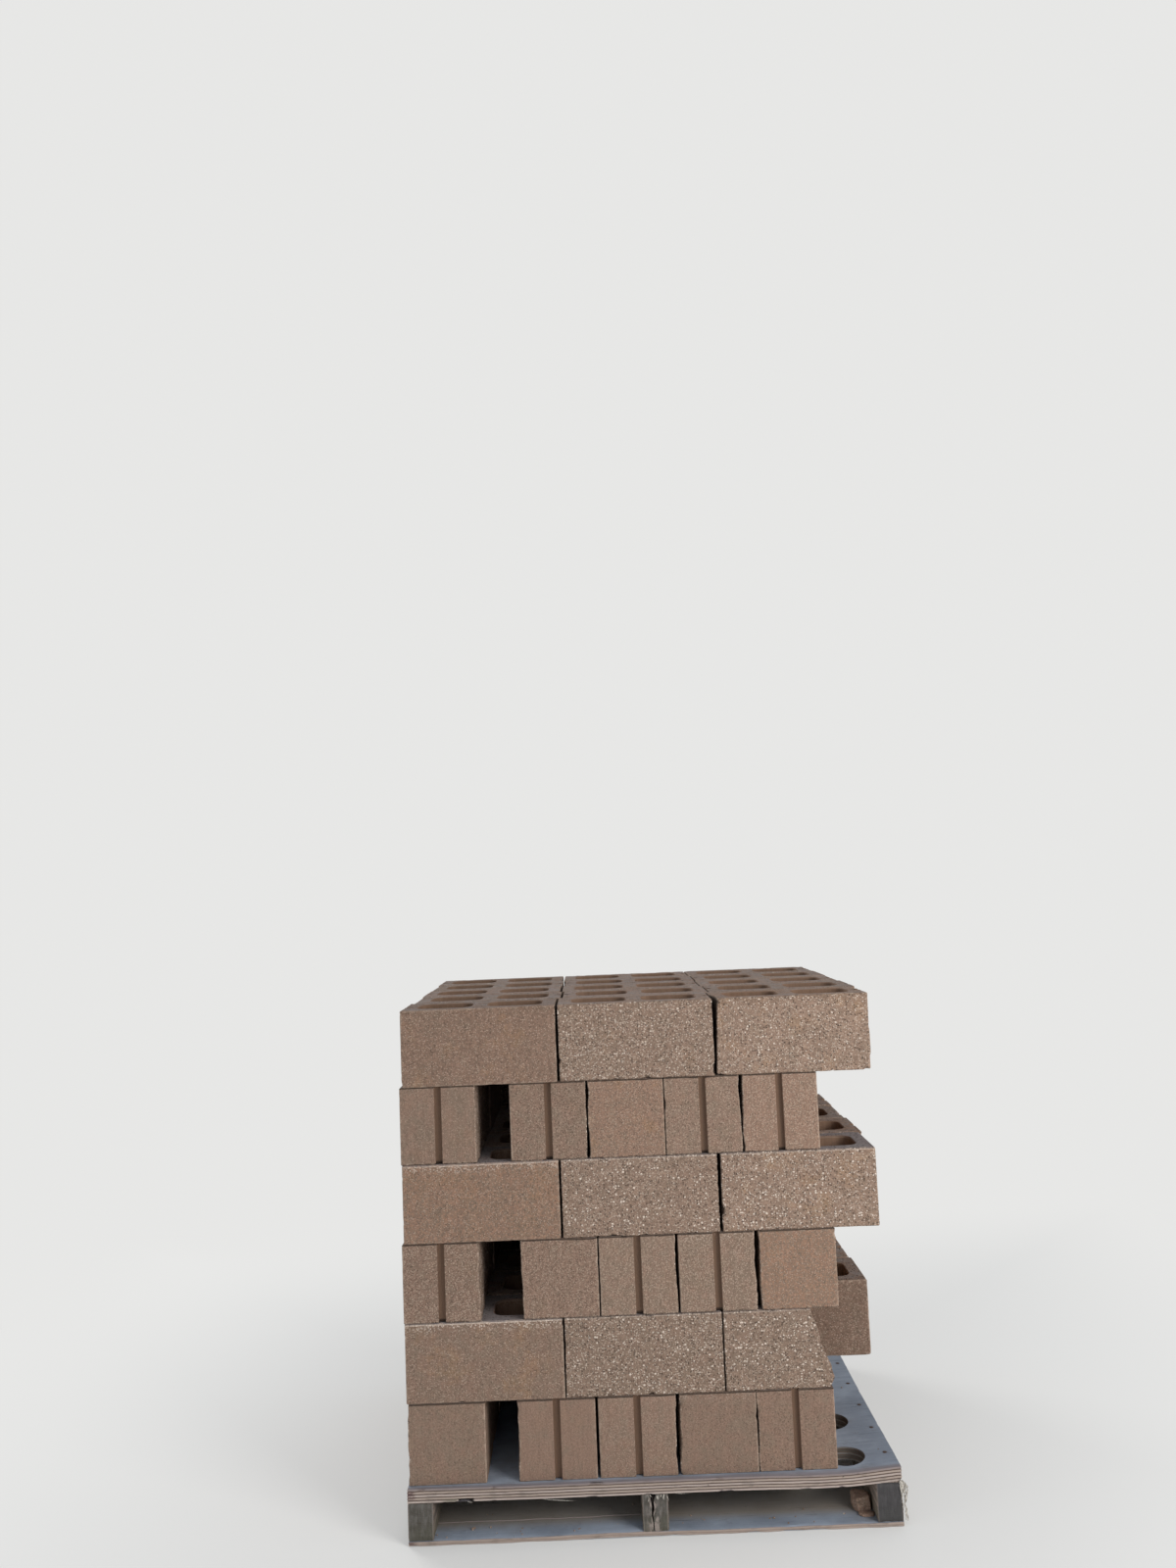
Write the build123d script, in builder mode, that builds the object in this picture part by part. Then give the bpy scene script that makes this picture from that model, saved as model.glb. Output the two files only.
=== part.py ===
from build123d import *
import os

# A pallet of split-face concrete blocks: six courses of hollow blocks, laid as headers
# and stretchers in turn, on a low wooden pallet with a drilled plywood deck.
# Millimetres, +X to the right along the front, the front towards -Y, +Z up.
# The origin is on the floor below the middle of the pallet.

# Hollow block, its shells and webs measured at its bed, from where its cells draw in
block_length = 397
block_width = 194
block_height = 194
face_shell = 35
end_web = 33
centre_web = 36
cell_corner = 17
cell_draft = 1.0
groove_width = 17.5
groove_depth = 12

# Pallet
pallet_length = 1219
pallet_depth = 1016
deck_thickness = 32
stringer_width = 64
stringer_height = 89
board_thickness = 12
board_depth = 203
hole_diameter = 102
hole_pitch = 200
hole_front_inset = 84
hole_side_inset = 123
holes_per_side = 5

# Load: where the courses stand on the deck, and the open joints between blocks
load_front_inset = 20
row_joint = 2
header_rows = 2
stretcher_rows = 5
stretcher_row_shifts = (0, 10, 4, 7, 2)
header_row_shifts = (0, 3)
back_row_shift = 5

# Each course, from the deck up: how its blocks lie, its inset from the pallet's left end,
# its setback from the front of the load, the joints along its rows, and for its front row
# whether the end with the groove faces the front (a header) or the right (a stretcher)
courses = (
    ("header", 2, 0, (81, 7, 6, 1), (False, True, True, False, True)),
    ("stretcher", 1, 2, (2, 3), (True, False, True)),
    ("header", 0, 0, (104, 3, 6, 9), (True, False, True, True, False)),
    ("stretcher", 5, 1, (5, 5), (True, True, False)),
    ("header", 3, 2, (86, 4, 2, 2), (True, True, False, True, True)),
    ("stretcher", 10, 1, (6, 2), (False, True, True)),
)

# The broken block at the right of the second course: its fracture as seen from the front,
# each point as a distance from the block's left end and a height above its bed
broken_course = 2
fracture = (
    (220, 194),
    (224, 169),
    (239, 139),
    (245, 104),
    (255, 72),
    (264, 58),
    (272, 24),
    (260, 0),
)

# Lump of a broken block that lies on the front bottom board beside the right stringer
fragment_length = 46
fragment_width = 44
fragment_height = 40
fragment_corner = 12
fragment_draft = 10
fragment_stringer_gap = 2
fragment_setback = 51

# Heights and places that follow from the sizes above
stringer_bed = board_thickness
deck_bed = stringer_bed + stringer_height
load_bed = deck_bed + deck_thickness
left_end = -pallet_length / 2
right_end = pallet_length / 2
front_edge = -pallet_depth / 2
load_front = front_edge + load_front_inset
cell_length = (block_length - 2 * end_web - centre_web) / 2
cell_width = block_width - 2 * face_shell
cell_offset = (centre_web + cell_length) / 2
across = (-1, 0, 0), (1, 0, 0)
along = (0, 1, 0), (0, -1, 0)

os.makedirs("parts", exist_ok=True)


def save(piece: BuildPart, name: str) -> None:
    """Labels a finished piece and writes it to its own file."""
    piece.part.label = name
    export_step(piece.part, f"parts/{name}.step")


def bed(x: float, y: float, z: float, length_dir: tuple) -> Location:
    """Gives the place of a block: the middle of its bed, and where its grooved end points."""
    return Plane(origin=(x, y, z), x_dir=length_dir, z_dir=(0, 0, 1)).location


def row_beds(start: float, middle_y: float, z: float, width: float, joints: tuple, dirs: list) -> list:
    """Gives the places of a row's blocks, laid from its left end with open joints between."""
    places = []
    left = start
    for joint, length_dir in zip((0, *joints), dirs):
        left += joint
        places.append(bed(left + width / 2, middle_y, z, length_dir))
        left += width
    return places


# One hollow block: two drafted cells through it, one plain end and one end with a groove
with BuildPart() as block:
    with BuildSketch():
        Rectangle(block_length, block_width)
        with Locations((block_length / 2 - groove_depth / 2, 0)):
            Rectangle(groove_depth, groove_width, mode=Mode.SUBTRACT)
    extrude(amount=block_height)
    with BuildSketch() as cells:
        with Locations((-cell_offset, 0), (cell_offset, 0)):
            Rectangle(cell_length, cell_width)
        chamfer(cells.vertices(), cell_corner)
    extrude(amount=block_height, taper=cell_draft, mode=Mode.SUBTRACT)

# The courses, one piece for each row of like blocks, with the broken block kept apart
for number, (laid, inset, setback, joints, grooves) in enumerate(courses, start=1):
    z = load_bed + (number - 1) * block_height
    start = left_end + inset
    front = load_front + setback
    rows = []
    if laid == "header":
        for row in range(header_rows):
            middle_y = front + block_length / 2 + row * (block_length + row_joint)
            dirs = [along[flag != bool(row)] for flag in grooves]
            shift = header_row_shifts[row]
            rows.append(row_beds(start + shift, middle_y, z, block_width, joints, dirs))
        # Behind the headers a row of stretchers fills the load's depth, with the joints of
        # the course above it
        back_y = front + header_rows * (block_length + row_joint) + block_width / 2
        dirs = [across[flag] for flag in (True, False, True)]
        back_joints = courses[number][3]
        rows.append(row_beds(start + back_row_shift, back_y, z, block_length, back_joints, dirs))
    else:
        for row in range(stretcher_rows):
            middle_y = front + block_width / 2 + row * (block_width + row_joint)
            dirs = [across[flag != bool(row % 2)] for flag in grooves]
            shift = stretcher_row_shifts[row]
            rows.append(row_beds(start + shift, middle_y, z, block_length, joints, dirs))
    if number == broken_course:
        broken_bed = rows[0].pop()
    for row, places in enumerate(rows, start=1):
        with BuildPart() as blocks:
            with Locations(*places):
                add(block.part)
        save(blocks, f"course_{number}_row_{row}")

# The broken block: its right end is gone past a rough fracture through both face shells
break_x = broken_bed.position.X - block_length / 2
break_z = broken_bed.position.Z
with BuildPart() as broken_block:
    with Locations(broken_bed):
        add(block.part)
    with BuildSketch(Plane.XZ.offset(-broken_bed.position.Y)):
        with BuildLine():
            Polyline(
                *[(break_x + x, break_z + height) for x, height in fracture],
                (break_x + 2 * block_length, break_z),
                (break_x + 2 * block_length, break_z + block_height),
                close=True,
            )
        make_face()
    extrude(amount=block_width, both=True, mode=Mode.SUBTRACT)
save(broken_block, "broken_block")

# Deck: one sheet of plywood with a line of round holes down each side
with BuildPart() as deck:
    with BuildSketch(Plane.XY.offset(deck_bed)):
        Rectangle(pallet_length, pallet_depth)
        hole_x = right_end - hole_side_inset
        hole_ys = [front_edge + hole_front_inset + step * hole_pitch for step in range(holes_per_side)]
        with Locations(*[(side * hole_x, y) for side in (-1, 1) for y in hole_ys]):
            Circle(hole_diameter / 2, mode=Mode.SUBTRACT)
    extrude(amount=deck_thickness)
save(deck, "deck")

# Stringers: three bearers from front to back, flush with the deck's ends and under its middle
stringer_x = right_end - stringer_width / 2
for name, x in (("left", -stringer_x), ("centre", 0), ("right", stringer_x)):
    with BuildPart() as stringer:
        with BuildSketch(Plane.XY.offset(stringer_bed)):
            with Locations((x, 0)):
                Rectangle(stringer_width, pallet_depth)
        extrude(amount=stringer_height)
    save(stringer, f"stringer_{name}")

# Bottom boards: three thin strips across the stringers, at the front, middle and back
board_y = -front_edge - board_depth / 2
for name, y in (("front", -board_y), ("middle", 0), ("back", board_y)):
    with BuildPart() as board:
        with BuildSketch():
            with Locations((0, y)):
                Rectangle(pallet_length, board_depth)
        extrude(amount=board_thickness)
    save(board, f"bottom_board_{name}")

# Lump of broken block on the front bottom board
fragment_x = right_end - stringer_width - fragment_stringer_gap - fragment_length / 2
fragment_y = front_edge + fragment_setback + fragment_width / 2
with BuildPart() as fragment:
    with BuildSketch(Plane.XY.offset(board_thickness)) as footprint:
        with Locations((fragment_x, fragment_y)):
            Rectangle(fragment_length, fragment_width)
        chamfer(footprint.vertices(), fragment_corner)
    extrude(amount=fragment_height, taper=fragment_draft)
save(fragment, "block_fragment")
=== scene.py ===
"""A pallet of split-face concrete blocks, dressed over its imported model.

Six courses of hollow blocks, headers and stretchers in turn, stand on a low wooden
pallet with a drilled plywood deck. Every row of blocks, the broken block and each piece
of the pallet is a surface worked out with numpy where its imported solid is.
Metres, +X to the right along the front, the front towards -Y, +Z up.
"""

import logging
import math
from dataclasses import dataclass, field
from enum import Enum, IntEnum
from functools import partialmethod
from typing import TypeAlias

import bpy
import numpy as np
from mathutils import Matrix, Vector

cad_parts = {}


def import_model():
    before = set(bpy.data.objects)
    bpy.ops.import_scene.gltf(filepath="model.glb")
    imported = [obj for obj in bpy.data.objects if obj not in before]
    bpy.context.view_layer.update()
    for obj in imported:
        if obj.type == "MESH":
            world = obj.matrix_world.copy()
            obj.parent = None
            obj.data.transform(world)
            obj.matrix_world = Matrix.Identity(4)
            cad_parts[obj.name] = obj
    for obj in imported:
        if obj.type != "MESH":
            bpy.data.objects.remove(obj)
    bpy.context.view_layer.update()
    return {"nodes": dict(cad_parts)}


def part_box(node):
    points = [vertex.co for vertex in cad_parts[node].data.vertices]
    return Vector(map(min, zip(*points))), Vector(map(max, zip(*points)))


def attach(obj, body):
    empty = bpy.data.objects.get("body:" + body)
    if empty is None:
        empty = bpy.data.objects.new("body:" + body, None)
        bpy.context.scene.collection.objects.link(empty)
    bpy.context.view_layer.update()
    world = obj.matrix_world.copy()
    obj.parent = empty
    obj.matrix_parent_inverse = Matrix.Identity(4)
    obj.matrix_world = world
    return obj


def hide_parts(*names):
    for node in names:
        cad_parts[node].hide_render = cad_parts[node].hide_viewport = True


log = logging.getLogger("pallet")

MM = 0.001
Numbers = np.ndarray
Pair = tuple[float, float]
Triple = tuple[float, float, float]
Colour = Triple
Material = bpy.types.Material
Piece = bpy.types.Object
Paint: TypeAlias = "Colour | Signal"
Amount: TypeAlias = "float | Signal"


def srgb(red: int, green: int, blue: int) -> Colour:
    """Turns a colour as seen on a screen, each part 0 to 255, into linear light."""
    parts = (c / 255 for c in (red, green, blue))
    return tuple(c / 12.92 if c <= 0.04045 else ((c + 0.055) / 1.055) ** 2.4 for c in parts)


def smooth(low: float, high: float, value: Numbers) -> Numbers:
    """Rises from 0 at low to 1 at high along a smoothstep, or falls if low is above high."""
    t = np.clip((value - low) / (high - low), 0, 1)
    return t * t * (3 - 2 * t)


def lattice_noise(points: Numbers, cell: float, seed: int = 0) -> Numbers:
    """Gives smooth noise from -1 to 1 at each point.

    Each corner of a cubic lattice has a random number, hashed from its indices. A point
    takes the eight around it, weighted by a smoothstep of its place between them.

    Args:
        points: Places, with x, y and z in the last axis.
        cell: Edge of one lattice cube.
        seed: Picks one of many such noises.

    Returns:
        One number for each point.
    """
    place = points / cell
    base = np.floor(place)
    t = place - base
    t = t * t * (3 - 2 * t)
    base = base.astype(np.int64)
    total = np.zeros(points.shape[:-1])
    for corner in np.ndindex(2, 2, 2):
        index = base + np.array(corner)
        mixed = index[..., 0] * 73856093 ^ index[..., 1] * 19349663 ^ index[..., 2] * 83492791
        mixed = (mixed ^ seed * 2654435761) & 0xFFFFFFFF
        mixed = (mixed ^ mixed >> 15) * 2246822519 & 0xFFFFFFFF
        mixed = (mixed ^ mixed >> 13) * 3266489917 & 0xFFFFFFFF
        value = ((mixed ^ mixed >> 16) & 0xFFFFFF) / 0x7FFFFF - 1
        total += value * np.prod(np.where(corner, t, 1 - t), axis=-1)
    return total


def fractal_noise(points: Numbers, cell: float, seed: int = 0, octaves: int = 3) -> Numbers:
    """Adds up octaves of lattice noise, each half as large and half as strong as the last."""
    return sum(lattice_noise(points, cell / 2**k, seed + k) / 2**k for k in range(octaves))


def grid_faces(rows: int, columns: int, wrap_rows: bool = False, wrap_columns: bool = False) -> Numbers:
    """Gives the four-cornered faces of a grid of points numbered row by row.

    Args:
        rows: Number of rows of points.
        columns: Number of points in a row.
        wrap_rows: Whether the last row joins the first.
        wrap_columns: Whether the last column joins the first.

    Returns:
        Corner numbers shaped (row spans, column spans, 4), turning from a row to the next.
    """
    r = np.arange(rows if wrap_rows else rows - 1)[:, None]
    c = np.arange(columns if wrap_columns else columns - 1)[None, :]
    r_next, c_next = (r + 1) % rows, (c + 1) % columns
    corners = (r * columns + c, r_next * columns + c, r_next * columns + c_next, r * columns + c_next)
    return np.stack(np.broadcast_arrays(*corners), axis=-1)


@dataclass
class Surface:
    """Points and four-cornered faces, with the number of its finish for each face.

    facts holds further vectors for each point, which become attributes of the mesh.
    """

    points: Numbers
    faces: Numbers
    finishes: Numbers
    facts: dict[str, Numbers] = field(default_factory=dict)

    @staticmethod
    def of_grid(points: Numbers, finish: int = 0, closed: bool = False) -> "Surface":
        """Makes a grid of points a surface with one finish, its rows closed to loops or not."""
        faces = grid_faces(*points.shape[:2], wrap_columns=closed).reshape(-1, 4)
        return Surface(points.reshape(-1, 3), faces, np.full(len(faces), finish))

    def flipped(self) -> "Surface":
        """Turns every face round."""
        return Surface(self.points, self.faces[:, ::-1], self.finishes, self.facts)

    def welded(self, grain: float = 1e-6) -> "Surface":
        """Merges points that lie together, so that the surface closes along its seams."""
        keys = np.round(self.points / grain).astype(np.int64)
        _, first, index = np.unique(keys, axis=0, return_index=True, return_inverse=True)
        facts = {name: values[first] for name, values in self.facts.items()}
        return Surface(self.points[first], index.reshape(-1)[self.faces], self.finishes, facts)

    @staticmethod
    def joined(parts: list["Surface"]) -> "Surface":
        """Puts several surfaces side by side into one."""
        starts = np.cumsum([0] + [len(part.points) for part in parts[:-1]])
        return Surface(
            np.concatenate([part.points for part in parts]),
            np.concatenate([part.faces + start for part, start in zip(parts, starts)]),
            np.concatenate([part.finishes for part in parts]),
            {name: np.concatenate([part.facts[name] for part in parts]) for name in parts[0].facts},
        )

    def made(self, name: str, finishes: list[Material], sharp: float = 32) -> Piece:
        """Makes the surface an object of the scene.

        Args:
            name: The object's name.
            finishes: The materials that the faces' finish numbers stand for.
            sharp: Edges that turn by more degrees stay crisp.

        Returns:
            The object, at the origin, with its place in its mesh.
        """
        same = self.faces == np.roll(self.faces, -1, axis=1)
        full, folded = ~same.any(axis=1), same.sum(axis=1) == 1
        triangles = self.faces[folded][~same[folded]].reshape(-1, 3)
        mesh = bpy.data.meshes.new(name)
        mesh.from_pydata(self.points.tolist(), [], self.faces[full].tolist() + triangles.tolist())
        for finish in finishes:
            mesh.materials.append(finish)
        numbers = np.concatenate([self.finishes[full], self.finishes[folded]])
        mesh.polygons.foreach_set("material_index", numbers.astype(np.int32))
        for fact, values in self.facts.items():
            attribute = mesh.attributes.new(fact, "FLOAT_VECTOR", "POINT")
            attribute.data.foreach_set("vector", values.astype(np.float32).ravel())
        mesh.shade_smooth()
        mesh.set_sharp_from_angle(angle=math.radians(sharp))
        mesh.update()
        return added(name, mesh)


def box_surface(lines: tuple[Numbers, Numbers, Numbers]) -> Surface:
    """Gives a closed box whose six sides are grids along the given lines.

    Args:
        lines: The rising x, y and z values of the grid lines.

    Returns:
        The welded box, its x sides with finish 0, its y sides with 1 and its z sides with 2.
    """
    parts = []
    for axis in range(3):
        u, v = np.meshgrid(lines[(axis + 1) % 3], lines[(axis + 2) % 3], indexing="ij")
        for end in (0, -1):
            points = np.stack([np.full_like(u, lines[axis][end]), u, v], axis=-1)
            part = Surface.of_grid(np.roll(points, axis, axis=-1), axis)
            parts.append(part if end else part.flipped())
    return Surface.joined(parts).welded()


def grid_lines(low: float, high: float, step: float) -> Numbers:
    """Gives the places of grid lines.

    Args:
        low: The first place.
        high: The last place.
        step: About how far apart they are, though closer at both ends.

    Returns:
        The rising places.
    """
    lips = np.array([0, 1.5, 5]) * MM
    inner = np.linspace(low + lips[-1], high - lips[-1], max(3, round((high - low) / step)))[1:-1]
    return np.concatenate([low + lips, inner, high - lips[::-1]])


def raised(plan: Numbers, height: "float | Numbers") -> Numbers:
    """Gives points in plan their height as a third number."""
    return np.concatenate([plan, np.broadcast_to(height, plan.shape[:-1])[..., None]], axis=-1)


def turned(points: Numbers, ahead: Numbers) -> Numbers:
    """Turns points about Z, so that what looked along X looks along a direction in plan."""
    return points @ np.array([[ahead[0], ahead[1], 0], [-ahead[1], ahead[0], 0], [0, 0, 1]])


def rounded(lines: Numbers, power: float) -> Surface:
    """Gives a closed ball: a box of grid lines drawn onto a superellipsoid of a power."""
    ball = box_surface((lines, lines, lines))
    size = (np.abs(ball.points) ** power).sum(axis=1, keepdims=True) ** (1 / power)
    return Surface(ball.points / size, ball.faces, ball.finishes)


def rubbed(points: Numbers, low: Numbers, high: Numbers, reach: float, depth: "float | Numbers") -> Numbers:
    """Draws a box's arrises in: points near two of its faces move inwards from both.

    Args:
        points: Points of the box.
        low: The box's lowest corner.
        high: The box's highest corner.
        reach: How far from an arris points move.
        depth: How far they move there.

    Returns:
        The moved points.
    """
    away = np.minimum(points - low, high - points)
    close = smooth(reach, reach * 0.1, away)
    others = np.minimum(close.sum(axis=-1, keepdims=True) - close, 1)
    inward = -np.sign(points - (low + high) / 2)
    return points + inward * close * others * np.reshape(depth, (-1, 1))


def near_ends(y: Numbers, low: float, high: float, reach: float) -> Numbers:
    """Fades from 1 at low to 0, and from 0 to -1 at high, over a reach at each."""
    return smooth(reach, 0, y - low) - smooth(reach, 0, high - y)


def added(name: str, data: bpy.types.ID) -> Piece:
    """Puts data into the scene as an object of that name."""
    piece = bpy.data.objects.new(name, data)
    bpy.context.scene.collection.objects.link(piece)
    return piece


def fitted(piece: Piece, node: str = "") -> Piece:
    """Joins a piece to the frame.

    Args:
        piece: The piece, which rides on the one body.
        node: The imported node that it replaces, if any.

    Returns:
        The piece.
    """
    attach(piece, "root")
    if node:
        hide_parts(node)
    return piece


class Signal:
    """A socket of a material's nodes. Arithmetic on it adds Math nodes."""

    def __init__(self, graph: "Graph", socket: bpy.types.NodeSocket) -> None:
        """Wraps one output socket."""
        self.graph = graph
        self.socket = socket

    def output(self, name: str) -> "Signal":
        """Gives another output of the same node."""
        return Signal(self.graph, self.socket.node.outputs[name])

    def math(self, operation: str, *others: Amount) -> "Signal":
        """Adds a Math node for an operation on the signal and then other values."""
        return self.graph.node("ShaderNodeMath", {"operation": operation}, dict(enumerate((self, *others))))

    __add__ = __radd__ = partialmethod(math, "ADD")
    __mul__ = __rmul__ = partialmethod(math, "MULTIPLY")
    __sub__ = partialmethod(math, "SUBTRACT")
    __truediv__ = partialmethod(math, "DIVIDE")
    __pow__ = partialmethod(math, "POWER")
    __abs__ = partialmethod(math, "ABSOLUTE")
    least = partialmethod(math, "MINIMUM")
    most = partialmethod(math, "MAXIMUM")
    wave = partialmethod(math, "SINE")

    def __rsub__(self, other: float) -> "Signal":
        """Takes the signal from a value: the signal times -1, plus the value."""
        return self.math("MULTIPLY_ADD", -1.0, other)

    def wrapped(self, length: float) -> "Signal":
        """Wraps the value into one length about 0, so that what it draws repeats."""
        return self.math("WRAP", length / 2, -length / 2)

    def between(self, low: float, high: float) -> "Signal":
        """Rises from 0 at low to 1 at high along a smoothstep, and is flat outside."""
        values = {"Value": self, "From Min": low, "From Max": high}
        return self.graph.node("ShaderNodeMapRange", {"interpolation_type": "SMOOTHSTEP"}, values)


class Graph:
    """The nodes of one material, or of the world, built from expressions."""

    def __init__(self, name: str, of_world: bool = False) -> None:
        """Starts an empty material, or a world, of that name."""
        self.owner = (bpy.data.worlds if of_world else bpy.data.materials).new(name)
        self.owner.use_nodes = True
        self.tree = self.owner.node_tree
        self.tree.nodes.clear()

    def node(self, kind: str, settings: dict | None = None, inputs: dict | None = None,
             output: str | int = 0) -> Signal:
        """Adds a node.

        Args:
            kind: The node's type.
            settings: Its own settings, set before its sockets; stops are a ramp's.
            inputs: Values or signals for its sockets, by name or number.
            output: The output to give back.

        Returns:
            That output as a signal.
        """
        node = self.tree.nodes.new(kind)
        for key, value in (settings or {}).items():
            if key == "stops":
                self._set_stops(node.color_ramp.elements, value)
            else:
                setattr(node, key, value)
        for key, value in (inputs or {}).items():
            if isinstance(value, Signal):
                self.tree.links.new(value.socket, node.inputs[key])
            else:
                node.inputs[key].default_value = value
        return Signal(self, node.outputs[output])

    @staticmethod
    def _set_stops(elements: bpy.types.ColorRampElements, stops: list[tuple[float, Colour]]) -> None:
        """Gives a ramp its stops, from 0 to 1."""
        while len(elements) < len(stops):
            elements.new(1.0)
        for element, (position, colour) in zip(elements, stops):
            element.position = position
            element.color = (*colour, 1.0)

    def mix(self, first: Paint, second: Paint, amount: Amount) -> Signal:
        """Blends from the first colour to the second."""
        colours = {6: self._rgba(first), 7: self._rgba(second), 0: amount}
        return self.node("ShaderNodeMix", {"data_type": "RGBA"}, colours, output=2)

    def tinted(self, colour: Paint, strength: Signal) -> Signal:
        """Makes a colour lighter or darker, by a factor about 1."""
        grey = self.node("ShaderNodeCombineXYZ", None, {0: strength, 1: strength, 2: strength})
        return self.node("ShaderNodeMix", {"data_type": "RGBA", "blend_type": "MULTIPLY"},
                         {0: 1.0, 6: self._rgba(colour), 7: grey}, output=2)

    @staticmethod
    def _rgba(colour: Paint) -> "tuple | Signal":
        """Gives a plain colour its fourth part."""
        return colour if isinstance(colour, Signal) else (*colour, 1.0)

    def vector(self, operation: str, first: Signal, second: "tuple | Signal") -> Signal:
        """Adds a Vector Math node for two vectors."""
        return self.node("ShaderNodeVectorMath", {"operation": operation}, {0: first, 1: second})

    def parts(self, vector: Signal) -> tuple[Signal, Signal, Signal]:
        """Splits a vector into x, y and z."""
        x = self.node("ShaderNodeSeparateXYZ", None, {0: vector})
        return x, x.output("Y"), x.output("Z")

    def fact(self, name: str) -> Signal:
        """Reads a vector attribute of the piece."""
        return self.node("ShaderNodeAttribute", {"attribute_name": name}, output="Vector")

    def node_end(self, shader: Signal) -> None:
        """Joins a shader to the output."""
        of_world = isinstance(self.owner, bpy.types.World)
        end = self.tree.nodes.new("ShaderNodeOutputWorld" if of_world else "ShaderNodeOutputMaterial")
        self.tree.links.new(shader.socket, end.inputs["Surface"])


class Coat(Graph):
    """A finish in the making: the place that its patterns read, and its colour so far."""

    def __init__(self, name: str, follows: str = "") -> None:
        """Starts a material that follows an attribute of the piece, or else its Object coordinates."""
        super().__init__(name)
        self.place = self.fact(follows) if follows else self.node("ShaderNodeTexCoord", output="Object")
        self.colour = self.place

    def cover(self, colour: Paint, amount: Amount) -> None:
        """Lays a colour over the coat."""
        self.colour = self.mix(self.colour, colour, amount)

    def shade(self, strength: Signal) -> None:
        """Makes the coat lighter or darker, by a factor about 1."""
        self.colour = self.tinted(self.colour, strength)

    def facts(self, name: str) -> tuple[Signal, Signal, Signal]:
        """Reads the three numbers of an attribute of the piece."""
        return self.parts(self.fact(name))

    def noise(self, scale: float, detail: float = 2.0, roughness: float = 0.5,
              stretch: Triple | None = None) -> Signal:
        """Adds smooth noise.

        Args:
            scale: Its features a metre.
            detail: Its number of octaves.
            roughness: How strong an octave is next to the last.
            stretch: How much finer it is along x, y and z.

        Returns:
            A value from 0 to 1.
        """
        place = self.vector("MULTIPLY", self.place, stretch) if stretch else self.place
        values = {"Vector": place, "Scale": scale, "Detail": detail, "Roughness": roughness}
        return self.node("ShaderNodeTexNoise", None, values)

    def cells(self, scale: float, shift: Triple = (0, 0, 0)) -> Signal:
        """Adds cells, with this many a metre, and gives the distance from their middles."""
        place = self.vector("ADD", self.place, shift) if any(shift) else self.place
        return self.node("ShaderNodeTexVoronoi", None, {"Vector": place, "Scale": scale})

    def specks(self, scale: float, chosen: Pair, fades: Pair,
               shift: Triple = (0, 0, 0)) -> tuple[Signal, Signal]:
        """Scatters round specks.

        Args:
            scale: Cells a metre, of which each may hold a speck.
            chosen: A cell's random number at which its speck starts to show and is full.
            fades: The distances from its middle at which it ends and is full.
            shift: A shift of the pattern.

        Returns:
            A mask of the specks, and a random number for each.
        """
        cells = self.cells(scale, shift)
        chance, lot, _ = self.parts(cells.output("Color"))
        return chance.between(*chosen) * cells.between(*fades), lot

    def finished(self, roughness: Amount, height: Signal, depth: float, specular: float = 0.2,
                 metallic: float = 0.0) -> Material:
        """Ends the coat in a surface shader.

        Args:
            roughness: Its roughness.
            height: Its relief, from 0 to 1.
            depth: How deep that is.
            specular: Its specular level.
            metallic: 1 for bare metal.

        Returns:
            The material.
        """
        normal = self.node("ShaderNodeBump", None, {"Height": height, "Distance": depth, "Strength": 1.0})
        self.node_end(self.node("ShaderNodeBsdfPrincipled", None, {
            "Base Color": self.colour, "Roughness": roughness, "Metallic": metallic,
            "Specular IOR Level": specular, "Normal": normal,
        }))
        return self.owner


class BlockFinish(IntEnum):
    """The finishes of a block's faces."""

    MOULDED = 0
    SPLIT = 1
    STRUCK = 2
    CORED = 3
    BROKEN = 4


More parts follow.
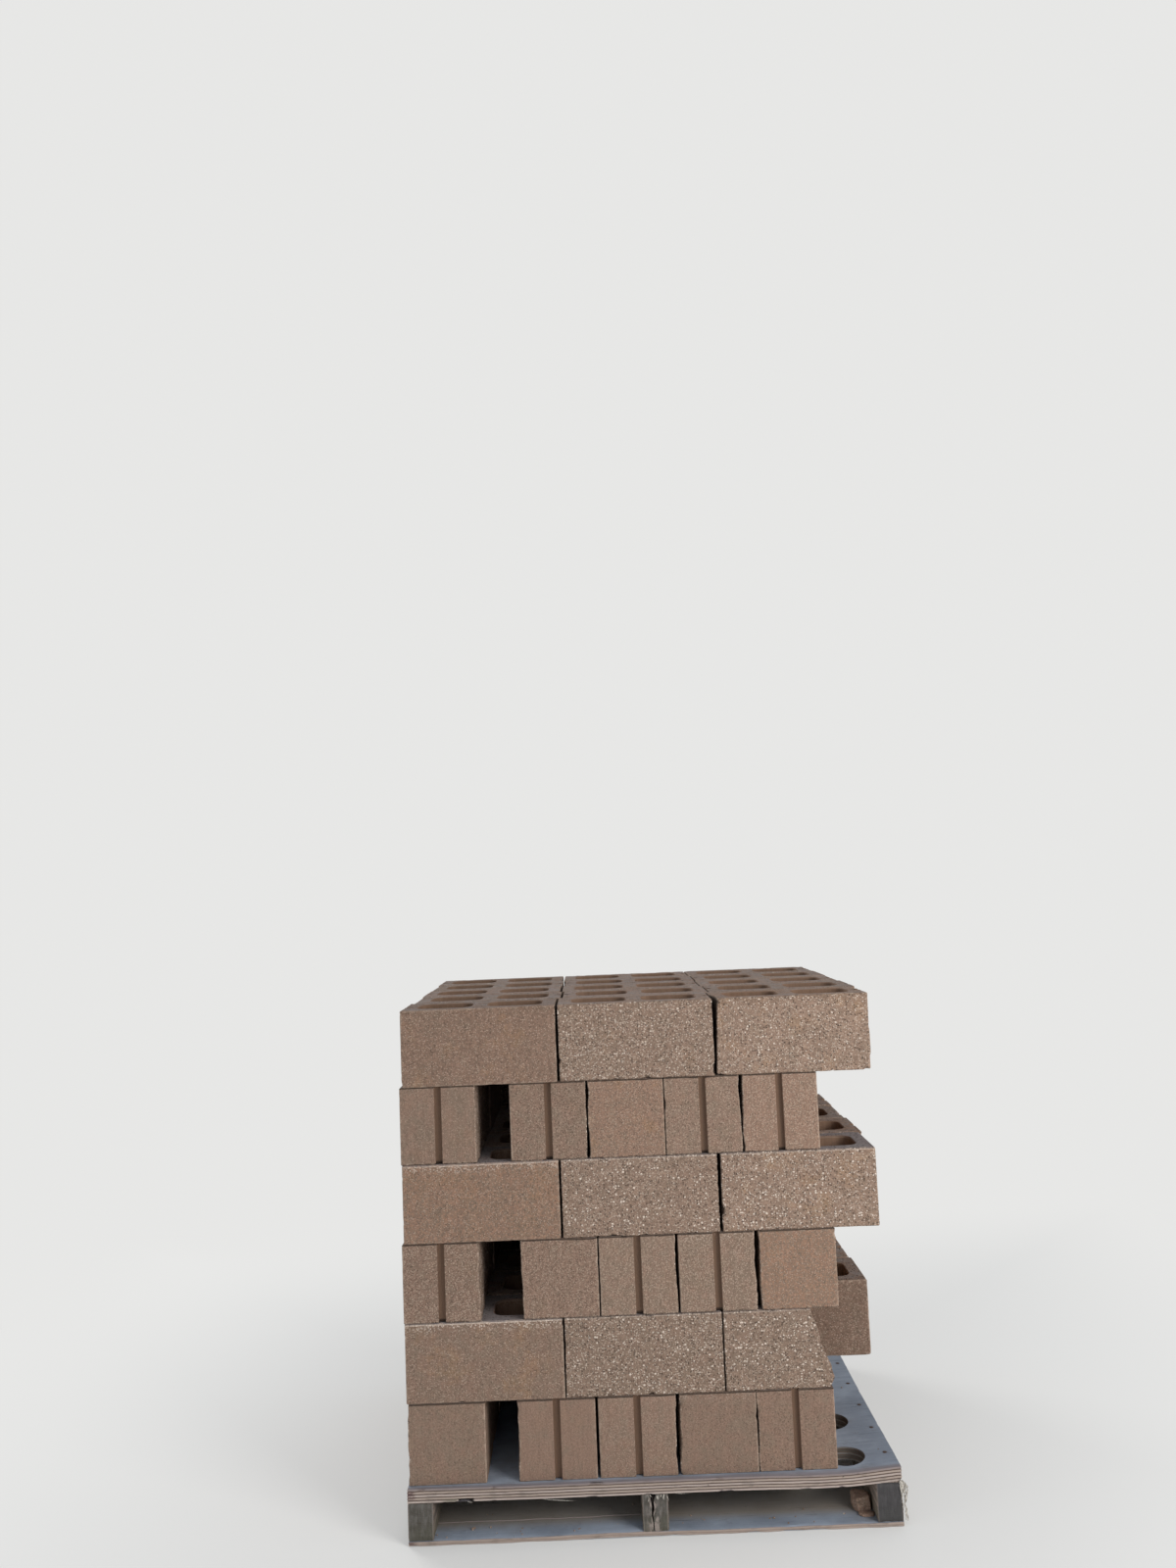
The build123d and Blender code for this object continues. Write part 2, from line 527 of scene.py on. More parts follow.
@dataclass(frozen=True)
class Concrete:
    """Tan block concrete, the same mix under all of its finishes."""

    face: Colour = srgb(137, 117, 102)
    rosy: Colour = srgb(142, 117, 102)
    grey: Colour = srgb(135, 116, 101)
    ochre: Colour = srgb(164, 128, 94)
    umber: Colour = srgb(112, 88, 70)
    sand: Colour = srgb(190, 169, 152)
    chalk: Colour = srgb(224, 207, 193)
    pebble: Colour = srgb(170, 148, 132)
    shadow: Colour = srgb(92, 76, 64)
    # Painted shade: the near black laid in pits, at narrow joints, under the course above and at the feet of
    # recesses.
    void: Colour = srgb(62, 51, 44)
    dust: Colour = srgb(142, 137, 136)
    # Darker than the face: partly the cored walls' own tone, partly painted shade of the cells and grooves.
    core: Colour = srgb(126, 100, 82)
    clay: Colour = srgb(139, 104, 83)
    # A painted ledge: dust grey like a lit top face, laid along the top of a stretcher's face.
    ledge: Colour = srgb(119, 110, 111)
    half_length: float = 0.1985
    half_width: float = 0.097
    height: float = 0.194

    def _ground(self, name: str) -> "tuple[Coat, Signal]":
        """Starts a finish with what all of them share: broad clouds of rosy, grey and ochre concrete.

        Args:
            name: The material's name.

        Returns:
            The finish, with patterns that are shifted for each block, and the distance to
            the block's nearest arris.
        """
        coat = Coat(name, "local")
        x, y, z = coat.parts(coat.place)
        tone, warmth, seed = coat.facts("lot")
        band, ochre, crest = coat.facts("wear")
        shift = coat.node("ShaderNodeCombineXYZ", None, {0: seed, 1: seed * 1.7, 2: seed * 0.6})
        coat.place = coat.vector("ADD", coat.place, shift)
        clouds = coat.noise(9, 3, 0.55)
        spread = coat.noise(34, 2, 0.6)
        ragged = coat.noise(42, 4, 0.65)
        coat.colour = coat.mix(self.grey, self.face, clouds.between(0.3, 0.55))
        coat.cover(self.rosy, (spread * 1.3 + warmth * 0.3).between(0.5, 1.05))
        patch = coat.noise(13, 3, 0.6).between(0.5, 0.68) * ragged.between(0.3, 0.6)
        coat.cover(self.ochre, patch * (ochre * 0.5 + 0.06))
        coat.cover(self.umber, band * (z + ragged * 0.05).between(0.19, 0.225) * 0.55)
        crumb, _ = coat.specks(210, (0.3, 0.4), (0.52, 0.36))
        coat.cover(self.chalk, crest * crumb * (z + ragged * 0.06).between(0.195, 0.222) * 0.7)
        coat.shade(tone * 0.08 + 1)
        ends = self.half_length - abs(x)
        sides = self.half_width - abs(y)
        beds = z.least(self.height - z)
        # Paler along the arrises: partly wear, partly a painted highlight.
        rim = (ends.most(sides) + ragged * 0.006).between(6.6 * MM, 4 * MM)
        coat.cover(self.sand, rim * spread.between(0.3, 0.7) * 0.5)
        self._joint(coat, ragged, ends, sides)
        return coat, ends.least(sides).most(ends.most(sides).least(beds))

    def _joint(self, coat: "Coat", ragged: Signal, ends: Signal, sides: Signal) -> None:
        """Paints shade along a header's foot and on a block's edges at its narrow joints, and paints a dusty
        ledge above a highlight along a stretcher's top arris.

        Args:
            coat: The finish.
            ragged: Noise that frays the lines.
            ends: The distance to the block's nearer end.
            sides: The distance to its nearer long side.
        """
        _, foot, ledge = coat.facts("bedding")
        _, _, joint = coat.facts("skin")
        _, _, z = coat.facts("local")
        # Painted shade: a dark line along a header's foot.
        coat.cover(self.void, foot * (z - ragged * 0.002).between(3.4 * MM, 1.8 * MM) * 0.85)
        # Painted shade on the arrises beside a narrow joint.
        at_ends = joint * ends.between(1.9 * MM, 0.8 * MM)
        at_sides = joint * -1 * sides.between(1.2 * MM, 0.5 * MM)
        coat.cover(self.void, at_ends.most(at_sides) * 0.9)
        # A painted highlight along a stretcher's top arris, with a painted ledge of dust grey above it.
        below = self.height - z - ragged * 0.0012 + 0.6 * MM
        coat.cover(self.chalk, ledge * below.between(6.2 * MM, 4.6 * MM) * 0.5)
        coat.cover(self.ledge, ledge * below.between(3.2 * MM, 2 * MM) * 0.9)

    def _moulded(self) -> Material:
        """Makes the face from the steel mould: sandy, with pits and faint streaks down the block."""
        coat, arris = self._ground("concrete_moulded")
        combed, ruddy, _ = coat.facts("skin")
        roof, _, _ = coat.facts("bedding")
        _, _, z = coat.facts("local")
        streaks = coat.noise(170, 3, 0.6, (1, 1, 0.12))
        grain = coat.noise(420, 3, 0.7)
        coarse = coat.noise(210, 3, 0.7)
        coat.cover(self.clay, ruddy * coarse.between(0.4, 0.6) * 0.6)
        mottle = (coarse - 0.5) * (1.1 - combed * 0.2 + ruddy * 0.5)
        coat.shade(streaks * 0.4 + grain * 0.65 + mottle + 0.46)
        pale, _ = coat.specks(290, (0.62, 0.72), (0.54, 0.3))
        coat.cover(self.sand, pale * (0.5 - combed * 0.2))
        pit, _ = coat.specks(230, (0.7, 0.8), (0.44, 0.22), (3.1, 1.7, 2.3))
        coat.cover(self.shadow, pit * (0.48 - combed * 0.2))
        worn = (arris / 0.010 - coat.noise(60, 4, 0.7) * 2.4 + 1.0).between(0.3, -0.3)
        coat.cover(self.sand, worn * 0.35)
        # Painted shade: a dark line along a header's top, under the course above.
        under = roof * (z + coarse * 0.004).between(self.height - 2.2 * MM, self.height - 0.2 * MM)
        coat.cover(self.void, under * 0.9)
        height = grain * 0.5 + streaks * 0.25 + coarse * 0.3 - pit * 0.9 - worn * 0.35
        return coat.finished(0.93, height, 1.1 * MM)

    def _split(self) -> Material:
        """Makes the split face: broken stones in the mix show as dense pale specks in a rough ground."""
        coat, _ = self._ground("concrete_split")
        grain = coat.noise(380, 3, 0.7)
        fine = coat.noise(210, 2, 0.6)
        coarse = coat.noise(70, 4, 0.65)
        ripple = coat.noise(90).output("Color")
        coat.place = coat.vector("ADD", coat.place, coat.vector("MULTIPLY", ripple, (0.003, 0.003, 0.003)))
        coat.cover(self.face, 0.45)
        coat.shade(grain * 0.7 + fine * 1.0 + coarse * 0.7 - 0.25)
        stones = coat.cells(150)
        kind, glow, size = coat.parts(stones.output("Color"))
        stone = (stones - size * 0.34 - 0.1).between(0.06, -0.06) * kind.between(0.42, 0.5)
        stops = [(0.0, self.pebble), (0.25, self.sand), (0.6, self.chalk), (1.0, self.chalk)]
        hue = coat.node("ShaderNodeValToRGB", {"stops": stops}, {0: glow})
        coat.cover(coat.tinted(hue, grain * 0.3 + 0.85), stone * 0.9)
        speck, shine = coat.specks(270, (0.52, 0.62), (0.52, 0.34))
        coat.cover(coat.mix(self.sand, self.chalk, shine), speck * 0.55)
        # Painted shade in the small holes of the split face.
        hole, _ = coat.specks(180, (0.62, 0.72), (0.46, 0.24), (2.7, 4.1, 1.9))
        coat.cover(self.void, hole * 0.5)
        height = coarse * 1.5 + stone * 0.42 + speck * 0.15 + grain * 0.22 - hole * 0.8
        return coat.finished(0.9, height, 2.6 * MM, 0.25)

    def _struck(self) -> Material:
        """Makes the top and bed: open and rough where the mix was struck off, with a film of dust."""
        coat, _ = self._ground("concrete_struck")
        grain = coat.noise(300, 4, 0.75)
        coarse = coat.noise(95, 3, 0.65)
        coat.shade(grain * 0.6 + coarse * 0.5 + 0.45)
        coat.cover(self.dust, coat.noise(22, 4, 0.65).between(0.3, 0.75) * 0.6)
        # Painted shade in the pits.
        pit, _ = coat.specks(150, (0.6, 0.66), (0.44, 0.24))
        coat.cover(self.void, pit * 0.7)
        height = coarse * 0.9 + grain * 0.35 - pit
        return coat.finished(0.95, height, 2.2 * MM)

    def _cored(self) -> Material:
        """Makes the walls of the cells and the groove: dragged smooth up the block by the core, and dark
        partly as painted shade.
        """
        coat, _ = self._ground("concrete_cored")
        drag = coat.noise(150, 4, 0.65, (1, 1, 0.05))
        grain = coat.noise(380, 3, 0.7)
        # Darker than the face, partly as painted shade of the recess.
        coat.cover(self.core, 0.75)
        coat.shade(drag * 0.5 + grain * 0.4 + 0.52)
        # Painted shade along the foot of the cells and groove of a header that stands on blocks.
        _, foot, _ = coat.facts("bedding")
        _, _, z = coat.facts("local")
        coat.cover(self.void, foot * z.between(9 * MM, 5 * MM) * 0.85)
        return coat.finished(0.95, drag * 0.8 + grain * 0.4, 1.2 * MM)

    def _broken(self) -> Material:
        """Makes the fresh fracture: pale crushed mix with whole stones in it, and sockets of others."""
        coat, _ = self._ground("concrete_broken")
        grain = coat.noise(350, 3, 0.7)
        coarse = coat.noise(60, 4, 0.7)
        coat.cover(self.sand, coarse.between(0.35, 0.7) * 0.5)
        coat.shade(grain * 0.6 + coarse * 0.4 + 0.5)
        stones = coat.cells(95)
        kind, glow, _ = coat.parts(stones.output("Color"))
        stone = stones.between(0.46, 0.34) * kind.between(0.6, 0.66)
        coat.cover(coat.mix(self.pebble, self.chalk, glow), stone * 0.8)
        socket = stones.between(0.42, 0.25) * kind.between(0.3, 0.22)
        coat.cover(self.shadow, socket * 0.5)
        height = coarse * 1.6 + stone * 0.7 + grain * 0.3 - socket
        return coat.finished(0.95, height, 4 * MM)

    def finishes(self) -> list[Material]:
        """Makes the materials in the order of BlockFinish."""
        return [self._moulded(), self._split(), self._struck(), self._cored(), self._broken()]


class Looks(Enum):
    """Which way a face looks, as a direction in plan."""

    FRONT = (0, -1)
    BACK = (0, 1)
    LEFT = (-1, 0)
    RIGHT = (1, 0)


class Detail(IntEnum):
    """How fine a block's surface is."""

    PLAIN = 0
    FINE = 1


@dataclass(frozen=True)
class Block:
    """A hollow block in its own frame: the middle of its bed at the origin, its grooved end at +X.

    Its surface is one grid. A section runs up a cell's wall, over the top to the outside,
    down the outer wall and back under the bed, and is carried round the cell. Each half of
    the block is such a ring, and they meet in the centre web.
    """

    length: float = 397 * MM
    width: float = 194 * MM
    height: float = 194 * MM
    face_shell: float = 35 * MM
    end_web: float = 33 * MM
    centre_web: float = 36 * MM
    cell_radius: float = 29 * MM
    cell_draft: float = math.radians(1)
    groove_width: float = 17.5 * MM
    groove_depth: float = 12 * MM
    groove_lip: float = 1.2 * MM
    arris: float = 2.2 * MM
    rim: float = 2.0 * MM
    spacing: Pair = (12.5 * MM, 6.2 * MM)

    @property
    def cell_length(self) -> float:
        """Length of a cell at the bed."""
        return (self.length - 2 * self.end_web - self.centre_web) / 2

    @property
    def cell_middle(self) -> float:
        """Distance of a cell's middle from the block's."""
        return (self.centre_web + self.cell_length) / 2

    def _end_line(self, grooved: bool, step: float) -> tuple[Numbers, Numbers]:
        """Gives the outline of an end in plan, from -Y to +Y.

        Args:
            grooved: Whether the end has the groove.
            step: Distance between points.

        Returns:
            Its points, and the way that each is drawn in at an arris.
        """
        x, edge = self.length / 2, self.width / 2 - self.arris
        half, lip = self.groove_width / 2, self.groove_lip
        count = max(3, round(edge / step))
        y = np.linspace(-edge, -half - lip, count) if grooved else np.linspace(-edge, edge, 2 * count + 1)
        line = y[:, None] * (0, 1, 0, 0) + (x, 0, 1, 0)
        if grooved:
            floor = x - self.groove_depth
            inner = [[x - lip, -half, 0.7, 0.7], [floor, -half, 1, 1], [floor, 0, 1, 0]]
            line = np.concatenate([line, inner])
            line = np.concatenate([line, line[-2::-1] * (1, -1, 1, -1)])
        return line[:, :2], line[:, 2:]

    def _loop(self, grooved: bool, steps: Pair) -> dict[str, Numbers]:
        """Gives the loop round one half of the block, as the half at +X.

        A cell's outline is a corner of an inner rectangle, plus the corner's radius in the
        direction of travel.

        Args:
            grooved: Whether the half's end has the groove.
            steps: Distances between points on the -Y and the +Y side.

        Returns:
            For each point its place outside, the way that it is drawn in at an arris, its
            corner of the cell's inner rectangle as signs, its direction from there, and the
            side of the span after it.
        """
        span, half = self.length / 2 - self.arris, self.width / 2
        near = np.linspace(0, 1, round(span / steps[0]) + 1)
        far = np.linspace(0, 1, round(span / steps[1]) + 1)
        mid = np.linspace(0, 1, round(self.width / self.spacing[0] / 2) * 2 + 1)[1:-1]
        end, end_out = self._end_line(grooved, self.spacing[0])
        along = (end[:, 1] / (self.width - 2 * self.arris)) + 0.5
        along = along + np.linspace(-1, 1, len(along)) * 0.01
        travels = (near, along, far, mid)
        first = np.cumsum([0] + [len(travel) for travel in travels])
        outside = np.concatenate([
            np.stack([near * span, near * 0 - half], axis=1),
            end,
            np.stack([(1 - far) * span, far * 0 + half], axis=1),
            np.stack([mid * 0, (0.5 - mid) * self.width], axis=1),
        ])
        out = np.zeros((len(outside), 2))
        out[:first[1]], out[first[1]:first[2]], out[first[2]:first[3]] = (0, -1), end_out, (0, 1)
        out[first[1] - 1], out[first[1]] = (0.38, -0.92), (0.92, -0.38)
        out[first[2] - 1], out[first[2]] = (0.92, 0.38), (0.38, 0.92)
        knots, turn = [0, 0.16, 0.84, 1], 4.0
        corners, angles = [], []
        for number, travel in enumerate(travels):
            sign = np.interp(travel, knots, [-1, -1, 1, 1])
            one = np.ones_like(sign)
            corners.append(np.stack([(sign, -one), (one, sign), (-sign, one), (-one, -sign)][number], axis=1))
            start = 225 + 90 * number
            angles.append(np.interp(travel, knots, [start + turn, start + 45, start + 45, start + 90 - turn]))
        angle = np.radians(np.concatenate(angles))
        side = np.repeat(np.arange(4), np.diff(first))
        side[first[3] - 1] = 3
        return {
            "outside": outside,
            "out": out,
            "corner": np.concatenate(corners),
            "direction": np.stack([np.cos(angle), np.sin(angle)], axis=1),
            "side": side,
        }

    def _section(self, step: float, even: bool = False) -> dict[str, Numbers]:
        """Gives the rows of the section.

        Args:
            step: Distance between rows on the outer wall.
            even: Whether the cell's wall has as many rows as the outer wall.

        Returns:
            For each row its height, how far it is from the cell's wall (0) to the outer
            wall (1), whether it is on a lip, drawn in and opened, and its finish.
        """
        outer = np.linspace(self.height - self.arris, self.arris, round(self.height / step) + 1)
        inner = np.linspace(self.rim, self.height - self.rim, len(outer) if even else 7)
        share = np.linspace(0, 1, 4)
        level = np.ones_like(share)
        return {
            "z": np.concatenate([inner, level * self.height, outer, level * 0]),
            "share": np.concatenate([inner * 0, share, outer * 0 + 1, share[::-1]]),
            "lip": np.concatenate([inner * 0, level, outer * 0, level]),
            "part": np.repeat(
                [BlockFinish.CORED, BlockFinish.STRUCK, BlockFinish.MOULDED, BlockFinish.STRUCK],
                [len(inner), len(share) - 1, len(outer) + 1, len(share)],
            ),
        }

    def _ring(self, grooved: bool, detail: Detail, fine_side: int, even: bool = False) -> "Ring":
        """Works out one half of the block as a grid, as the half at +X.

        Args:
            grooved: Whether its end has the groove.
            detail: How fine its surface is.
            fine_side: -1 or 1, the long side that the detail goes to.
            even: Whether both walls have as many rows.

        Returns:
            The grid, finished as a block with no split face.
        """
        fine, plain = self.spacing[detail], self.spacing[0]
        loop = self._loop(grooved, (fine, plain) if fine_side < 0 else (plain, fine))
        rows = self._section(fine, even)
        z, share = rows["z"][:, None], rows["share"][:, None, None]
        slope = z * math.tan(self.cell_draft)
        half_x = self.cell_length / 2 - slope - self.cell_radius
        half_y = self.width / 2 - self.face_shell - slope - self.cell_radius
        lip = rows["lip"][:, None]
        radius = self.cell_radius + self.rim * lip
        corner, direction = loop["corner"], loop["direction"]
        cell = np.stack([
            self.cell_middle + half_x * corner[:, 0] + radius * direction[:, 0],
            half_y * corner[:, 1] + radius * direction[:, 1],
        ], axis=-1)
        outer = loop["outside"] - self.arris * lip[..., None] * loop["out"]
        plan = cell * (1 - share) + outer * share
        points = raised(plan, z)
        faces = grid_faces(*plan.shape[:2], wrap_rows=True, wrap_columns=True)
        finishes = np.broadcast_to(rows["part"][:, None], faces.shape[:2]).copy()
        outside = (rows["share"] == 1) & (np.roll(rows["share"], -1) == 1)
        kept = ~(outside[:, None] & (loop["side"] == 3)[None, :])
        if grooved:
            deep = loop["outside"][:, 0] < self.length / 2 - self.groove_lip / 2
            in_groove = deep & (np.abs(loop["outside"][:, 1]) < self.groove_width / 2 + MM)
            in_groove &= loop["outside"][:, 0] > self.length / 2 - self.groove_depth - MM
            finishes[outside[:, None] & (in_groove & np.roll(in_groove, -1))[None, :]] = BlockFinish.CORED
        return Ring(points, faces, finishes, kept, rows, loop)

    def _plain_half(self, detail: Detail, fine_side: int) -> Surface:
        """Makes the half with the plain end, mirrored to -X."""
        plain = self._ring(False, detail, fine_side).surface()
        return Surface(plain.points * (-1, 1, 1), plain.faces[:, ::-1], plain.finishes)

    def form(self, detail: Detail, fine_side: int) -> Surface:
        """Makes the block's surface of its two halves."""
        grooved = self._ring(True, detail, fine_side).surface()
        return Surface.joined([grooved, self._plain_half(detail, fine_side)]).welded()


@dataclass
class Ring:
    """One half of a block as a grid: rows of the section, and points of the loop round the cell."""

    points: Numbers
    faces: Numbers
    finishes: Numbers
    kept: Numbers
    rows: dict[str, Numbers]
    loop: dict[str, Numbers]

    def surface(self) -> Surface:
        """Gives the kept faces as a surface."""
        return Surface(self.points.reshape(-1, 3), self.faces[self.kept], self.finishes[self.kept])


@dataclass(frozen=True)
class BrokenBlock(Block):
    """A block whose grooved end has broken off, leaving a stub of each face shell.

    fracture holds the heights up the block and how far it still reaches there towards +X.
    """

    fracture: tuple[tuple[float, ...], tuple[float, ...]] = ((0.0, 0.194), (0.06, 0.02))
    tooth: float = 3.2 * MM

    def _reach(self, y: Numbers, z: Numbers) -> Numbers:
        """Gives the fracture's X at a place: its outline, roughened by fractal noise."""
        place = np.stack([np.zeros_like(y), y, z], axis=-1)
        rough = fractal_noise(place, 26 * MM, 31, 3)
        return np.interp(z, *self.fracture) + self.tooth * (rough - 0.2)

    def _cap(self, ring: Ring, side: int) -> Surface:
        """Closes the stub of one face shell with a grid from the cell's wall to the outside.

        Args:
            ring: The broken half.
            side: -1 or 1, the shell's long side.

        Returns:
            The stub's broken end.
        """
        rows = ring.rows
        outer = np.flatnonzero((rows["share"] == 1) & (rows["lip"] == 0))
        share = np.unique(rows["share"])[None, :]
        z_out = rows["z"][outer][:, None]
        z_in = rows["z"][: len(outer)][::-1][:, None]
        z = np.concatenate([share * 0 + self.height, z_in * (1 - share) + z_out * share, share * 0])
        at_bed = np.zeros((len(z), 1))
        at_bed[[0, -1]] = 1
        y_in = self.width / 2 - self.face_shell - z[:, :1] * math.tan(self.cell_draft) + at_bed * self.rim
        y_out = self.width / 2 - at_bed * self.arris
        y = side * (y_in * (1 - share) + y_out * share)
        points = np.stack([self._reach(y, z), y, z], axis=-1)
        cap = Surface.of_grid(points, BlockFinish.BROKEN)
        return cap if side > 0 else cap.flipped()

    def form(self, detail: Detail, fine_side: int) -> Surface:
        """Draws what lies past the fracture back to it, and closes the stubs."""
        ring = self._ring(True, detail, fine_side, even=True)
        reach = self._reach(ring.points[..., 1], ring.points[..., 2])
        past = (ring.points[..., 0] > reach).reshape(-1)
        ring.points[..., 0] = np.minimum(ring.points[..., 0], reach)
        gone = past[ring.faces].all(axis=-1)
        at_web = ring.loop["corner"][:, 0] < -1 + 1e-9
        within = (ring.rows["share"] < 1) | (np.roll(ring.rows["share"], -1) < 1)
        in_fillet = within[:, None] & (at_web | np.roll(at_web, -1))[None, :]
        ring.finishes[gone & in_fillet] = BlockFinish.BROKEN
        ring.kept &= ~gone | in_fillet
        parts = [ring.surface(), self._plain_half(detail, fine_side), self._cap(ring, -1), self._cap(ring, 1)]
        return Surface.joined(parts).welded()


@dataclass
class Placed:
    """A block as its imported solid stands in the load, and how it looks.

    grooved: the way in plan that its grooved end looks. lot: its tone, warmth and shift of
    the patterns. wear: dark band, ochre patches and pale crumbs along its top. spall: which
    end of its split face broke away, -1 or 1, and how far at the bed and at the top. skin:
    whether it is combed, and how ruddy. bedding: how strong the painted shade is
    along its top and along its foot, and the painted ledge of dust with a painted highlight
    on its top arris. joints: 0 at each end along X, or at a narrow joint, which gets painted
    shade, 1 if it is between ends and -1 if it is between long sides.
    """

    block: Block
    bed: Numbers
    grooved: Numbers
    split: Looks
    detail: Detail
    lot: Numbers
    wear: Triple = (0.0, 0.0, 0.0)
    spall: tuple[int, float, float] = (1, 0.0, 0.0)
    skin: Triple = (0.0, 0.0, 0.0)
    bedding: Triple = (0.0, 0.0, 0.0)
    joints: Pair = (0.0, 0.0)

    @property
    def split_side(self) -> int:
        """Gives which long side is split, -1 or 1 along the block's own Y."""
        across = np.array([-self.grooved[1], self.grooved[0]])
        return 1 if across @ np.array(self.split.value) > 0 else -1


@dataclass
class Load:
    """The courses of blocks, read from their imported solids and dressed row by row.

    The keys of its tables are the digits of a course, of its row, and of a block from the
    left. split_looks has no block in its keys, but a letter for each block's split side.
    """

    nodes: dict[str, Piece]
    finishes: list[Material]
    block: Block = field(default_factory=Block)
    relief: float = 3.4 * MM
    chip: float = 5 * MM
    joint: float = 0.2 * MM
    # Widths under which a joint in a course of stretchers, and in one of headers, gets painted shade.
    dark_joints: Pair = (20 * MM, 4.5 * MM)
    seed: int = 5
    combed_course: int = 1
    split_looks: dict[str, str] = field(default_factory=lambda: {
        "11": "LLRLL", "21": "BF", "22": "FBB", "31": "RLRRL", "41": "BFF", "51": "RRLRL", "61": "BFF",
    })
    # Tones and ruddiness of single blocks: partly their own colour, partly painted light and shade, darker at
    # the left, lighter at the right and darker on the block behind the broken one.
    tones: dict[str, Pair] = field(default_factory=lambda: {
        "611": (-1.8, 0.2), "613": (2.9, 0), "511": (-1.1, 0), "512": (-1.0, 0), "513": (0, 0.5),
        "515": (0.5, 0.3), "411": (-0.6, 0.8), "413": (2.3, 0), "311": (-1.5, 0), "312": (-1.0, 0),
        "315": (0.5, 1.0), "211": (-1.3, 0), "223": (-3.0, 0), "111": (-0.8, 0), "114": (-0.9, 0),
    })
    spalls: dict[str, tuple[int, float, float]] = field(default_factory=lambda: {
        "613": (-1, 2 * MM, 11 * MM), "413": (-1, 1 * MM, 4 * MM), "212": (-1, 0.5 * MM, 2 * MM),
    })
    wear: dict[str, Triple] = field(default_factory=lambda: {
        "613": (1, 0.8, 0), "612": (0.2, 0.3, 0), "611": (0.3, 0.4, 0), "513": (0, 0.5, 0),
        "413": (0.4, 1, 0), "411": (0, 0.3, 1), "314": (0, 0, 0.6), "211": (0, 0.5, 1), "114": (0, 0, 0.3),
    })

    def names(self) -> list[str]:
        """Names the nodes that are blocks, the broken one first."""
        return ["broken_block", *sorted(name for name in self.nodes if name.startswith("course_"))]

    def _corners(self, name: str) -> list[Numbers]:
        """Splits a node into its solids, by the open joints between their spans along X.

        Args:
            name: The node.

        Returns:
            The corner points of each solid, from left to right.
        """
        mesh = self.nodes[name].data
        points = np.empty(len(mesh.vertices) * 3)
        mesh.vertices.foreach_get("co", points)
        points = points.reshape(-1, 3)
        mesh.calc_loop_triangles()
        triangles = np.empty(len(mesh.loop_triangles) * 3, dtype=np.int64)
        mesh.loop_triangles.foreach_get("vertices", triangles)
        spans = points[triangles.reshape(-1, 3), 0]
        low, high = spans.min(axis=1), spans.max(axis=1)
        order = np.argsort(low)
        reach = np.maximum.accumulate(high[order])
        gaps = np.flatnonzero(low[order][1:] > reach[:-1] + self.joint)
        starts = np.concatenate([[low.min()], low[order][gaps + 1]]) - self.joint / 2
        number = np.searchsorted(starts, points[:, 0]) - 1
        return [points[number == k] for k in range(len(starts))]

    def _grooved(self, corners: Numbers) -> Numbers:
        """Finds the way that a block's grooved end looks, from the corners of the groove's floor.

        Args:
            corners: The corner points of the block's solid.

        Returns:
            The direction in plan.
        """
        low, high = corners.min(axis=0), corners.max(axis=0)
        middle = (low + high) / 2
        axis = 0 if high[0] - low[0] > high[1] - low[1] else 1
        depth = self.block.length / 2 - self.block.groove_depth
        floor = np.abs(np.abs(corners[:, axis] - middle[axis]) - depth) < 0.3 * MM
        floor &= np.abs(corners[:, 1 - axis] - middle[1 - axis]) < self.block.groove_width
        grooved = np.zeros(2)
        grooved[axis] = np.sign(np.mean(corners[floor, axis] - middle[axis]))
        return grooved

    def _placed(self, name: str) -> list[Placed]:
        """Reads where a row's blocks stand, and settles how each looks.

        A joint gets painted shade where it is narrow, and so does the one beside the broken block.

        Args:
            name: The row's node.

        Returns:
            The blocks, from left to right.
        """
        course, row = int(name.split("_")[1]), int(name.split("_")[3])
        chance = np.random.default_rng(self.seed * 1000 + course * 10 + row)
        letters = self.split_looks.get(f"{course}{row}")
        by_letter = {look.name[0]: look for look in Looks}
        of_headers = course % 2
        solids = self._corners(name)
        spans = np.array([[corners[:, 0].min(), corners[:, 0].max()] for corners in solids])
        last = 0 if name == "course_2_row_1" else np.inf
        gaps = np.concatenate([[np.inf], spans[1:, 0] - spans[:-1, 1], [last]])
        joints = (gaps < self.dark_joints[of_headers]) * (-1.0 if of_headers else 1.0)
        found = []
        for number, corners in enumerate(solids):
            low, high = corners.min(axis=0), corners.max(axis=0)
            grooved = self._grooved(corners)
            stretcher = grooved[0] != 0
            if letters:
                split = by_letter[letters[number]]
            else:
                pair = (Looks.FRONT, Looks.BACK) if stretcher else (Looks.LEFT, Looks.RIGHT)
                split = pair[int(chance.random() < 0.5)]
            lot = np.array([chance.normal(0, 0.5), chance.random(), chance.random() * 90])
            called = f"{course}{row}{number + 1}"
            lot[0], ruddy = self.tones.get(called, (lot[0], 0))
            found.append(Placed(
                self.block,
                np.array([*(low + high)[:2] / 2, low[2]]),
                grooved,
                split,
                Detail.FINE if row == 1 and stretcher else Detail.PLAIN,
                lot,
                wear=self.wear.get(called, (0, 0, 0)),
                spall=self.spalls.get(called, (1, 0, 0)),
                skin=(course == self.combed_course, ruddy, 0),
                bedding=(of_headers, of_headers * (course > 1), (1 - of_headers) * (row == 1 and course < 6)),
                joints=tuple(joints[number:number + 2]),
            ))
        return found

